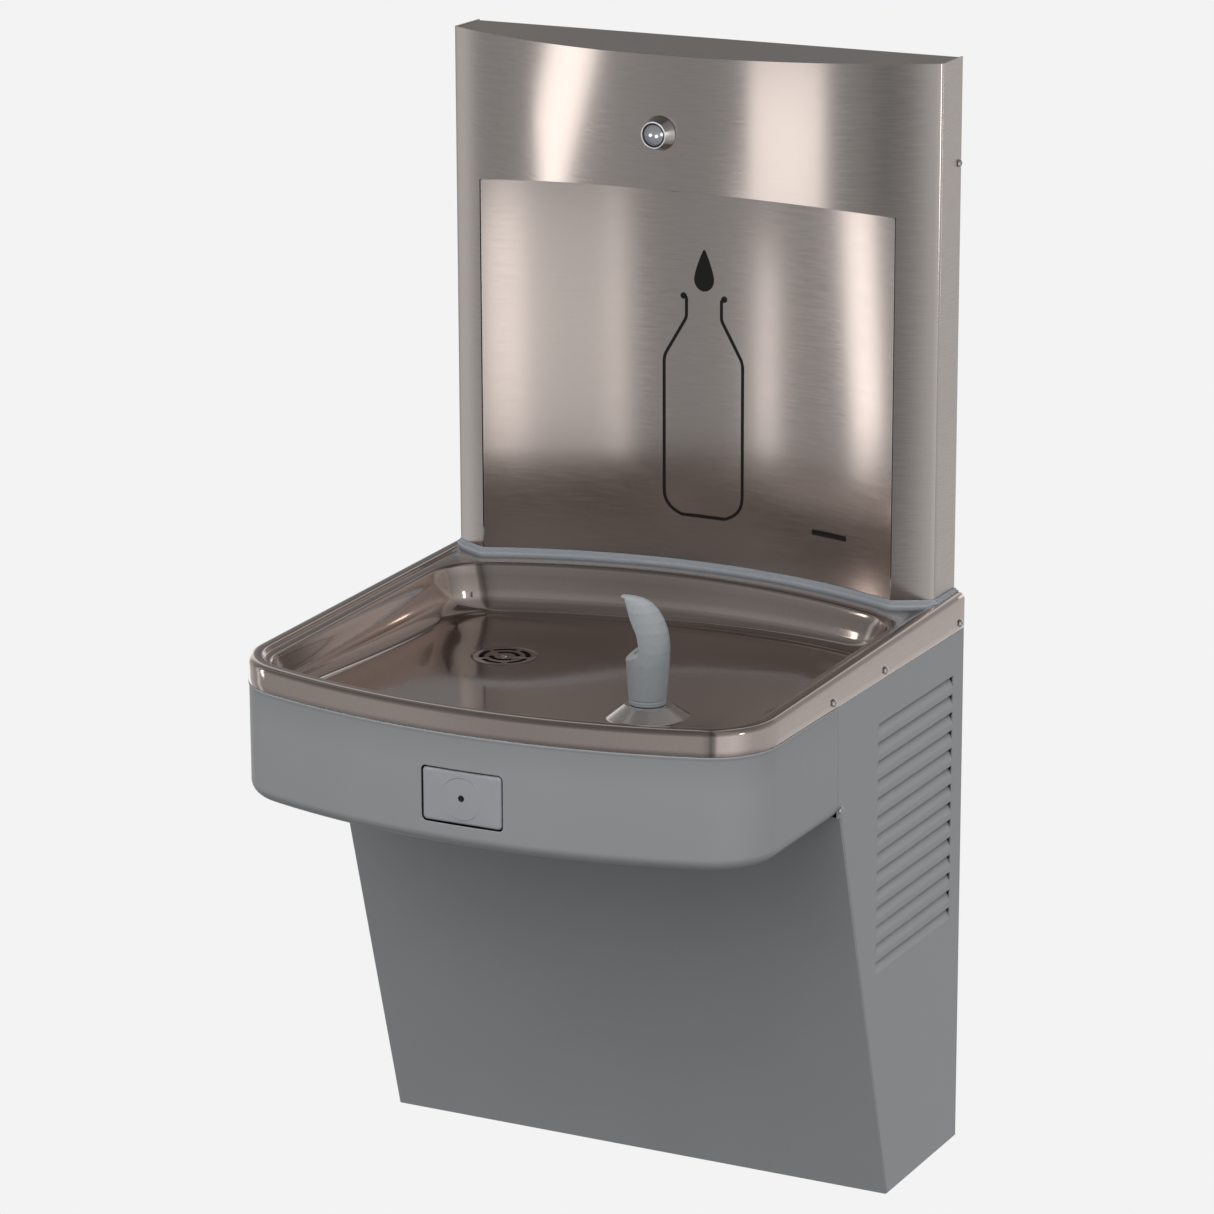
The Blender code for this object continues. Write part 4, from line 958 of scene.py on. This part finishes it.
def push_pad():
    """A bowed block with rounded corners and softened edges; its mark is a plain dot in a ring."""
    outline = rounded_window(PAD_WIDTH / 2, PAD_HEIGHT / 2, 0.0032)
    rings = []
    for inset, depth in ((0.0, 0.008), (0.0, 0.0016), (0.0002, 0.0009), (0.0006, 0.0004),
                         (0.0012, 0.0001), (0.0020, 0.0)):
        ring = []
        for x, z in outline:
            px = x * (1 - inset / (PAD_WIDTH / 2))
            pz = PAD_CENTRE_Z + (z - PAD_CENTRE_Z) * (1 - inset / (PAD_HEIGHT / 2))
            front = apron_front_y(px)
            ring.append((px, -DEPTH + depth if depth == 0.008 else front + depth, pz))
        rings.append(ring)
    for share in (0.97, 0.85, 0.7, 0.5, 0.3, 0.1):
        rings.append([(x * share, apron_front_y(x * share),
                       PAD_CENTRE_Z + (z - PAD_CENTRE_Z) * share)
                      for x, _, z in rings[5]])
    show("pad", loft(rings), "pad", ["push_pad"], "push_pad", 60)
    ring = [bowed_disc(radius, rise) for radius, rise in (
        (0.0173, -0.0001), (0.0171, 0.00006), (0.0168, 0.00006), (0.0166, -0.0001))]
    show("pad_ring", loft(ring, caps=False), "pad", (), "push_pad")
    dot = [bowed_disc(radius, rise) for radius, rise in (
        (0.0026, -0.0001), (0.0026, 0.00008), (0.0012, 0.0001), (0.0001, 0.0001))]
    show("pad_dot", loft(dot), "ink", (), "push_pad")


def bowed_disc(radius, rise):
    """A circle on the pad's bowed face, rise above it."""
    return [(x, apron_front_y(x) - rise, z) for x, z in circle(64, radius, (0.0, PAD_CENTRE_Z))]


# ---------------------------------------------------------------- bottle filler

def gasket_plan(offset):
    """The shroud's footprint from the right wall round to the left one, offset outwards."""
    side = SHROUD_HALF + offset
    meeting = meeting_x(offset, offset)
    bend = 0.0035
    corner = (side, shroud_front_y(side, offset))
    wall = [(side, y) for y in spread(-WALL_GAP, corner[1] + bend, 10)]
    front = [(x, shroud_front_y(x, offset)) for x in spread(side - bend, meeting + bend, 14)]
    inner = (meeting, shroud_front_y(meeting, offset))
    edge = meeting - bend
    alcove = [(x, alcove_y(x, offset)) for x in spread(edge, -edge, 120)]
    right = wall + curve_between(wall[-1], corner, front[0]) + front
    right += curve_between(front[-1], inner, alcove[0])
    return right + alcove + [(-x, y) for x, y in reversed(right)]


def curve_between(start, corner, end, steps=6):
    points = []
    for i in range(1, steps):
        t = i / steps
        points.append(tuple(start[k] * (1 - t) ** 2 + corner[k] * 2 * t * (1 - t) + end[k] * t ** 2
                            for k in (0, 1)))
    return points


def seat_height(x, y):
    """Where the gasket rests: on the bead at the sides, on the deck inside them."""
    share = min(max((abs(x) - 0.2150) / 0.006, 0.0), 1.0)
    return top_height(y) - LIP_DROP + 0.0003 + share * (LIP_DROP + 0.0001)


def gasket():
    """A rubber strip in two tiers under the shroud."""
    top = SHROUD_BOTTOM - GAP
    section = [(-GASKET_IN, 1.0), (GASKET_OUT * 0.15, 1.0), (GASKET_OUT * 0.32, 0.97),
               (GASKET_OUT * 0.42, 0.88), (GASKET_OUT * 0.50, 0.62), (GASKET_OUT * 0.56, 0.55),
               (GASKET_OUT * 0.80, 0.52), (GASKET_OUT * 0.93, 0.46), (GASKET_OUT, 0.34),
               (GASKET_OUT, 0.10), (GASKET_OUT * 0.9, 0.0), (-GASKET_IN, 0.0)]
    lines = [gasket_plan(offset) for offset, _ in section]
    rings = []
    for i in range(len(lines[0])):
        ring = []
        for line, (_, share) in zip(lines, section):
            x, y = line[i]
            low = seat_height(x, y) - 0.0010
            ring.append((x, y, low + (top - low) * share))
        rings.append(ring)
    show("gasket", loft(rings), "gasket", ["shroud_gasket"], sharp=40)


def nozzle():
    """The filler's short outlet under the ceiling of the alcove."""
    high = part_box("filler_nozzle")[1]
    profile = [(0.0045, 0.006), (0.0045, 0.0), (0.0052, -0.0004), (0.0062, 0.0006),
               (0.0062, 0.004), (0.0078, 0.005), (0.0078, high[2] - CEILING + 0.010)]
    tip = moved(turned(profile, 48, True), (NOZZLE[0], NOZZLE[1], CEILING - 0.010))
    show("outlet", tip, "chrome", ["filler_nozzle"])


def lay_grain(thing, u, v):
    """UVs whose U runs along direction u, which the brushing's tangent follows."""
    layer = thing.data.uv_layers.new(name="grain")
    for loop in thing.data.loops:
        place = thing.data.vertices[loop.vertex_index].co
        layer.data[loop.index].uv = (place.dot(Vector(u)), place.dot(Vector(v)))


def shroud_front():
    """The bowed front sheet: a header with an arched lower edge, and a pillar each side."""
    back = -SHROUD_SIDE_DEPTH + SEAM_RETURN
    outline = []
    for offset, order in ((0.0, 1), (-SHEET, -1)):
        half = SHROUD_HALF + offset
        arc = [(x, shroud_front_y(x, offset)) for x in spread(half - 0.0012, 0.0012 - half, 180)]
        corner = (half, shroud_front_y(half, offset))
        right = [(half, back)] + [(half, corner[1] + 0.0012)]
        right += curve_between(right[1], corner, arc[0])
        line = right + arc + [(-x, y) for x, y in reversed(right)]
        outline += line[::order]
    sheet = show("header", prism(outline, SHROUD_BOTTOM, SHROUD_TOP), "header", ["shroud_front"])
    near, far = -0.030, -0.200
    arch = [(near, 0.05), (far, 0.05), (far, ARCH_LOW + ARCH_RISE * (-0.060 - far)),
            (near, ARCH_LOW + ARCH_RISE * (-0.060 - near))]
    hole = turned([(0.0096, -0.02), (0.0096, 0.02)], 48)
    carve(sheet, [prism(arch, -ALCOVE_HALF, ALCOVE_HALF, "x"),
                  moved(hole, (0, shroud_front_y(0), SENSOR_Z), (0, 1, 0))])
    reshade(sheet)
    add_bevel(sheet, 0.0004, 3)


def alcove_panel():
    edge = ALCOVE_HALF - 0.0008
    face = [(x, alcove_y(x)) for x in spread(edge, -edge, 180)]
    rear = [(x, alcove_y(x, -SHEET)) for x in spread(-edge, edge, 180)]
    panel = show("alcove_back", prism(face + rear, SHROUD_BOTTOM, CEILING - GAP), "header",
                 ["alcove_panel"])
    reach = meeting_x(-SHEET - GAP, 0.0)
    notches = [box((min(side * reach, side * 0.2), -0.1, ARCH_LOW - GAP),
                   (max(side * reach, side * 0.2), 0, CEILING + 0.01)) for _, side in SIDES]
    carve(panel, [merged(notches)])
    reshade(panel)


def shell():
    """Side sheets and top cap of the bottle filler, with softened edges."""
    for name, side in SIDES:
        front = -SHROUD_SIDE_DEPTH + SEAM_RETURN + GAP
        low, high = sorted((side * (SHROUD_HALF - SHEET), side * SHROUD_HALF))
        sheet = show(f"filler_side_{name}", box((low, front, SHROUD_BOTTOM),
                                                (high, -WALL_GAP, SHROUD_TOP)),
                     "side", [f"shroud_side_{name}"])
        lay_grain(sheet, (0, 0, 1), (0.3, 1, 0))
        add_bevel(sheet, 0.0003, 2)
    inner = SHROUD_HALF - SHEET - GAP
    arc = [(x, shroud_front_y(x, -SHEET - GAP)) for x in spread(inner, -inner, 120)]
    cap = show("filler_cap", prism([(inner, -WALL_GAP)] + arc + [(-inner, -WALL_GAP)],
                                   SHROUD_TOP - 0.0025, SHROUD_TOP - 0.0010),
               "cap", ["top_cap"])
    lay_grain(cap, (0, 1, 0), (1, 0, 0))


def domed(radius, base, side, rise, start, steps):
    """A solid profile from its base up a straight side and over a round top."""
    arc = spread(start, math.pi / 2, steps)[:-1]
    top = [(radius * math.cos(a), side + rise * math.sin(a)) for a in arc]
    return [(0, base), (radius, base), (radius, side)] + top + [(0, side + rise)]


def sensor():
    """A chrome bezel whose rim ring is a lighter painted highlight, round a domed window with three
    small glowing dots behind it that are painted glints.
    """
    face = shroud_front_y(0) - GAP
    place = lambda shape: moved(shape, (0, face, SENSOR_Z), (0, -1, 0))
    bezel = [(0.0141, 0), (0.0142, 0.0003), (0.0107, 0.0108), (0.0097, 0.0108),
             (0.0097, 0.0095), (0.0092, 0.0095), (0.0092, 0)]
    show("bezel", place(turned(bezel, 96, True)), "chrome", ["sensor_bezel"])
    # The bezel's rim ring takes the lighter edge look, a painted highlight.
    edge = [(0.0108, 0.0107), (0.0109, 0.0112), (0.0106, 0.0117), (0.0102, 0.0118),
            (0.0099, 0.0115), (0.0098, 0.0107)]
    show("bezel_edge", place(turned(edge, 96, True)), "edge")
    seal = [(0.0098, 0.0106), (0.0098, 0.0111), (0.0086, 0.0109), (0.0086, 0.0096),
            (0.0096, 0.0096)]
    show("window_seal", place(turned(seal, 64, True)), "black")
    dome = domed(0.0086, 0.0068, 0.0101, 0.0026, 0.15, 10)
    show("window", place(turned(dome, 64)), "lens", ["sensor_lens"])
    core = [(0, -0.0180), (0.0090, -0.0180), (0.0090, 0.0050), (0, 0.0050)]
    show("sensor_core", place(turned(core, 48)), "speckled", ["sensor_body"])
    # Three glowing dots behind the window: painted glints.
    bulb = domed(0.0013, 0, 0.0006, 0.0010, 0.2, 6)
    painted_glints = [moved(turned(bulb, 24), (x, face - 0.0050, SENSOR_Z + z), (0, -1, 0))
             for x, z in ((-0.0054, -0.0012), (0.0, -0.0018), (0.0048, 0.0002))]
    show("painted_glints", merged(painted_glints), "glint")


def bottle_sign():
    """A bottle's outline, open at its mouth, with a round lip each side."""
    half = [(0.0185, 0.3355), (0.0160, 0.3335), (0.0160, 0.3170), (0.0360, 0.2830),
            (0.0360, 0.1730), (0.0360, 0.1560), (0.0200, 0.1485)]
    right = smooth_line(half, (0, 0.0012, 0.0030, 0.0050, 0.0, 0.0130, 0.0100, 0))
    line = [(-x, z) for x, z in right] + right[::-1]
    inner, outer = [], []
    for i, point in enumerate(line):
        before = Vector(line[max(i - 1, 0)])
        after = Vector(line[min(i + 1, len(line) - 1)])
        along = (after - before).normalized()
        across = Vector((-along.y, along.x)) * 0.0013
        inner.append(tuple(Vector(point) + across))
        outer.append(tuple(Vector(point) - across))
    lips = [bowed_dot(side * 0.0186, 0.3350, 0.0027) for _, side in SIDES]
    show("bottle_lips", merged(lips), "ink")
    show("bottle_sign", on_panel([inner, outer]), "ink")


def drop_sign():
    drop = []
    for turn in spread(-math.pi * 0.5, math.pi * 1.5, 64)[:-1]:
        lift = max(math.sin(turn), 0.0)
        width = 0.0090 * math.cos(turn) * (1 - 0.62 * lift ** 1.3)
        drop.append((width, 0.3500 + 0.0100 * min(math.sin(turn), 0) + 0.0250 * lift))
    rings = shrunk(drop, (0, 0.3500), (1.0, 0.75, 0.5, 0.25, 0.02))
    show("drop_sign", on_panel(rings, True), "ink")


def plain_label():
    """A plain bar at the alcove's lower right."""
    label = rounded([(0.1045, 0.1483), (0.1395, 0.1483), (0.1395, 0.1527), (0.1045, 0.1527)],
                    (0.0012,) * 4)
    rings = shrunk(label, (0.1220, 0.1505), (1.0, 0.7, 0.4, 0.02))
    show("plain_label", on_panel(rings, True), "ink")


def shrunk(line, centre, shares):
    """Copies of an outline drawn in towards a centre."""
    return [[(centre[0] + (x - centre[0]) * share, centre[1] + (z - centre[1]) * share)
             for x, z in line] for share in shares]


def bowed_dot(x, z, radius):
    return on_panel([circle(32, radius, (x, z)), circle(32, 0.0001, (x, z))], True)


def smooth_line(points, radii):
    """An open line with its inner corners replaced by short curves."""
    line = [points[0]]
    for before, corner, after, radius in zip(points, points[1:], points[2:], radii[1:]):
        start = Vector(corner) + (Vector(before) - Vector(corner)).normalized() * radius
        end = Vector(corner) + (Vector(after) - Vector(corner)).normalized() * radius
        line.append(tuple(start))
        if radius:
            line += curve_between(start, corner, end, 8) + [tuple(end)]
    return line + [points[-1]]


def on_panel(rows, closed=False):
    """Rows of (x, z) points as a thin black layer on the alcove's hollow back."""
    layers = [[[(x, alcove_y(x) - lift, z) for x, z in row] for row in rows]
              for lift in (0.00015, 0.0003)]
    rings = layers[1] + layers[0][::-1]
    return loft(rings, closed_rings=closed, closed_path=True)


# ---------------------------------------------------------------- fasteners and fittings

def screws():
    """Dome heads with a cross recess, in the skirt, the filler's sides and the apron corners."""
    for name, side in SIDES:
        for place, depth in zip(("rear", "middle", "front"), (0.0115, 0.1630, 0.2620)):
            screw(f"rim_screw_{name}_{place}", (side * WIDTH / 2, -depth, 0.0825), side)
        screw(f"shroud_screw_{name}", (side * SHROUD_HALF, -0.0068, 0.4625), side)
        screw(f"apron_screw_{name}", (side * CABINET_HALF, -0.2470, -0.0092), side)


def screw(node, at, side):
    profile = [(0, -0.004), (0.0015, -0.004), (0.0015, GAP), (0.0033, GAP), (0.0034, 0.0006),
               (0.0031, 0.0013), (0.0025, 0.0019), (0.0016, 0.0023), (0, 0.0024)]
    head = show(f"{node}_head", moved(turned(profile, 40), at, (side, 0, 0)), "chrome", [node])
    x = sorted((at[0] + side * 0.0014, at[0] + side * 0.0040))
    recess = [box((x[0], at[1] - wide, at[2] - tall), (x[1], at[1] + wide, at[2] + tall))
              for wide, tall in ((0.0017, 0.00035), (0.00035, 0.0017))]
    carve(head, recess)
    reshade(head, 40)


def condenser():
    """Thin upright fins with two tubes' end bends, behind the louvres."""
    y, z = -0.0975, -0.0575
    fins = [box((0.190, y - 0.066 + 0.132 * i / 60, z - 0.088),
                (0.206, y - 0.0656 + 0.132 * i / 60, z + 0.088)) for i in range(60)]
    tubes = [moved(turned([(0, -0.066), (0.0035, -0.066), (0.0035, 0.066), (0, 0.066)], 20),
                   (0.198, y, z + level), (0, 1, 0)) for level in spread(-0.075, 0.075, 6)]
    show("condenser_fins", merged(fins), "fins", ["condenser"])
    show("condenser_tubes", merged(tubes), "copper")


# ---------------------------------------------------------------- studio

def camera():
    """At the right of the fountain's front, looking slightly down, with a long lens."""
    forward = Vector((-math.sin(CAMERA_AZIMUTH) * math.cos(CAMERA_ELEVATION),
                      math.cos(CAMERA_AZIMUTH) * math.cos(CAMERA_ELEVATION),
                      -math.sin(CAMERA_ELEVATION)))
    right = Vector((math.cos(CAMERA_AZIMUTH), math.sin(CAMERA_AZIMUTH), 0))
    up = right.cross(forward)
    turned_right = right * math.cos(CAMERA_ROLL) + up * math.sin(CAMERA_ROLL)
    turned_up = -right * math.sin(CAMERA_ROLL) + up * math.cos(CAMERA_ROLL)
    data = bpy.data.cameras.new("camera")
    data.sensor_width = 36.0
    data.lens = CAMERA_LENS
    thing = placed("camera", data)
    matrix = Matrix((turned_right, turned_up, -forward)).transposed().to_4x4()
    matrix.translation = CAMERA_TARGET - forward * CAMERA_DISTANCE
    thing.matrix_world = matrix
    bpy.context.scene.camera = thing


def studio():
    """A pale floor, softboxes that only reflections see, and a world for each kind of ray."""
    bpy.context.scene.view_settings.view_transform = "Standard"
    world_light()
    corners = [(x * FLOOR_HALF, y * FLOOR_HALF, FLOOR_Z)
               for x, y in ((-1, -1), (1, -1), (1, 1), (-1, 1))]
    floor = placed("floor", mesh_from("floor", (corners, [(0, 1, 2, 3)])))
    floor.data.materials.append(glowing("floor", BACKDROP))
    floor.visible_diffuse = False
    floor.visible_glossy = False
    groups = {row[0]: bpy.data.collections.new(row[0]) for row in SOFTBOXES}
    for name, *box_row in SOFTBOXES:
        softbox(groups[name], *box_row)
    return groups


def softbox(group, azimuth, height, width, length, roll, radiance):
    """An area light of a given brightness round the object, which only the group reflects.

    Azimuth is in degrees from the front towards the right, roll in degrees.
    """
    data = bpy.data.lights.new("softbox", "AREA")
    data.shape = "RECTANGLE"
    data.size = width
    data.size_y = length
    data.energy = radiance * width * length * 4
    data.color = SOFTBOX_COLOUR
    thing = placed("softbox", data)
    turn = math.radians(azimuth)
    place = Vector((SOFTBOX_REACH * math.sin(turn),
                    SOFTBOX_CENTRE[1] - SOFTBOX_REACH * math.cos(turn), height))
    outward = (place - Vector(SOFTBOX_CENTRE)).normalized()
    spin = Matrix.Rotation(math.radians(roll), 4, outward)
    thing.matrix_world = (Matrix.Translation(place) @ spin
                          @ outward.to_track_quat("Z", "Y").to_matrix().to_4x4())
    thing.visible_camera = False
    thing.visible_diffuse = False
    thing.light_linking.receiver_collection = group


def sort_receivers(groups):
    """The header and the alcove's back each see their own softboxes, the rest the third set."""
    own = {"header": "header", "bezel": "header", "filler_side_left": "header",
           "filler_side_right": "header", "alcove_back": "alcove"}
    for thing in bpy.context.scene.objects:
        if thing.type == "MESH":
            groups[own.get(thing.name, "basin")].objects.link(thing)


class WorldNodes:
    """The world's node tree: directions in, brightness out."""

    def __init__(self):
        world = bpy.data.worlds.new("studio")
        bpy.context.scene.world = world
        world.use_nodes = True
        self.tree = world.node_tree
        self.tree.nodes.clear()
        where = self.tree.nodes.new("ShaderNodeTexCoord")
        parts = self.tree.nodes.new("ShaderNodeSeparateXYZ")
        self.tree.links.new(where.outputs["Generated"], parts.inputs[0])
        self.direction = where.outputs["Generated"]
        self.x, self.y, self.z = parts.outputs

    def math(self, operation, *sources):
        node = self.tree.nodes.new("ShaderNodeMath")
        node.operation = operation
        for socket, source in zip(node.inputs, sources):
            if isinstance(source, (int, float)):
                socket.default_value = source
            else:
                self.tree.links.new(source, socket)
        return node.outputs[0]

    def ramp(self, source, low, high, stops):
        """Grey levels at stated places between low and high."""
        node = self.tree.nodes.new("ShaderNodeValToRGB")
        node.color_ramp.interpolation = "EASE"
        elements = node.color_ramp.elements
        while len(elements) < len(stops):
            elements.new(0.5)
        for element, (place, _) in zip(elements, stops):
            element.position = (place - low) / (high - low)
        for element, (_, level) in zip(elements, stops):
            element.color = (level, level, level, 1)
        share = self.math("DIVIDE", self.math("SUBTRACT", source, low), high - low)
        self.tree.links.new(share, node.inputs["Fac"])
        return node.outputs["Color"]

    def lobe(self, towards, sharpness):
        """A soft light from one direction."""
        node = self.tree.nodes.new("ShaderNodeVectorMath")
        node.operation = "DOT_PRODUCT"
        self.tree.links.new(self.direction, node.inputs[0])
        node.inputs[1].default_value = Vector(towards).normalized()
        return self.math("POWER", self.math("MAXIMUM", node.outputs["Value"], 0.0), sharpness)

    def background(self, level):
        node = self.tree.nodes.new("ShaderNodeBackground")
        if isinstance(level, tuple):
            node.inputs["Color"].default_value = (*level, 1)
        else:
            self.tree.links.new(level, node.inputs["Color"])
        return node.outputs[0]

    def either(self, choice, first, second):
        node = self.tree.nodes.new("ShaderNodeMixShader")
        self.tree.links.new(choice, node.inputs["Fac"])
        self.tree.links.new(first, node.inputs[1])
        self.tree.links.new(second, node.inputs[2])
        return node.outputs[0]


def world_light():
    """Plain to the eye; banded round the horizon in reflections; soft from above on paint."""
    n = WorldNodes()
    azimuth = n.math("MULTIPLY", n.math("ARCTAN2", n.x, n.math("MULTIPLY", n.y, -1.0)),
                     180 / math.pi)
    elevation = n.math("MULTIPLY", n.math("ARCSINE", n.z), 180 / math.pi)
    bands = n.ramp(azimuth, -180, 180, (  # degrees from the front towards the right
        (-172, 1.2), (-163, 0.40), (-153, 0.25), (-145, 0.40), (-138, 1.3), (-128, 1.0),
        (-118, 0.45), (-95, 0.30), (-87, 0.62), (-80, 0.26), (-66, 0.28), (-40, 0.30),
        (-20, 0.26), (12, 0.30), (21, 0.24), (26, 0.14), (31, 0.20), (38, 0.55), (60, 0.60),
        (100, 0.40), (150, 0.43), (165, 0.55), (177, 1.2)))
    heights = n.ramp(elevation, -90, 90, (
        (-90, 0.30), (-45, 0.50), (-20, 1.0), (-4, 1.0), (6, 0.80), (16, 0.60), (40, 0.40),
        (90, 0.30)))
    mirror = n.math("MULTIPLY", bands, heights)
    key = n.math("MULTIPLY", n.lobe((-0.10, -0.50, 0.86), 4.0), 3.3)
    side = n.math("MULTIPLY", n.lobe((0.80, -0.1, 0.60), 3.0), 1.3)
    soft = n.math("ADD", n.math("ADD", key, side), 0.31)
    path = n.tree.nodes.new("ShaderNodeLightPath")
    light = n.either(path.outputs["Is Diffuse Ray"], n.background(mirror), n.background(soft))
    shown = n.either(path.outputs["Is Camera Ray"], light, n.background(BACKDROP))
    output = n.tree.nodes.new("ShaderNodeOutputWorld")
    n.tree.links.new(shown, output.inputs["Surface"])


def dress_frame():
    """Give every node of the frame that still shows a finished material."""
    slots = {row["node"]: row["material_slot"] for row in frame["record"]["subparts"]}
    for node, thing in frame["nodes"].items():
        look = "ceiling" if node == "alcove_ceiling" else LOOKS[slots[node]][0]
        if not thing.material_slots:
            thing.data.materials.append(MATERIALS[look])
        for slot in thing.material_slots:
            slot.material = MATERIALS[look]


def main():
    camera()
    groups = studio()
    dress_frame()
    basin()
    boss()
    drain()
    bubbler()
    for name, side in SIDES:
        side_panel(f"side_panel_{name}", side)
    front_apron()
    lower_front()
    push_pad()
    gasket()
    shroud_front()
    alcove_panel()
    shell()
    sensor()
    bottle_sign()
    drop_sign()
    plain_label()
    screws()
    condenser()
    nozzle()
    sort_receivers(groups)


main()
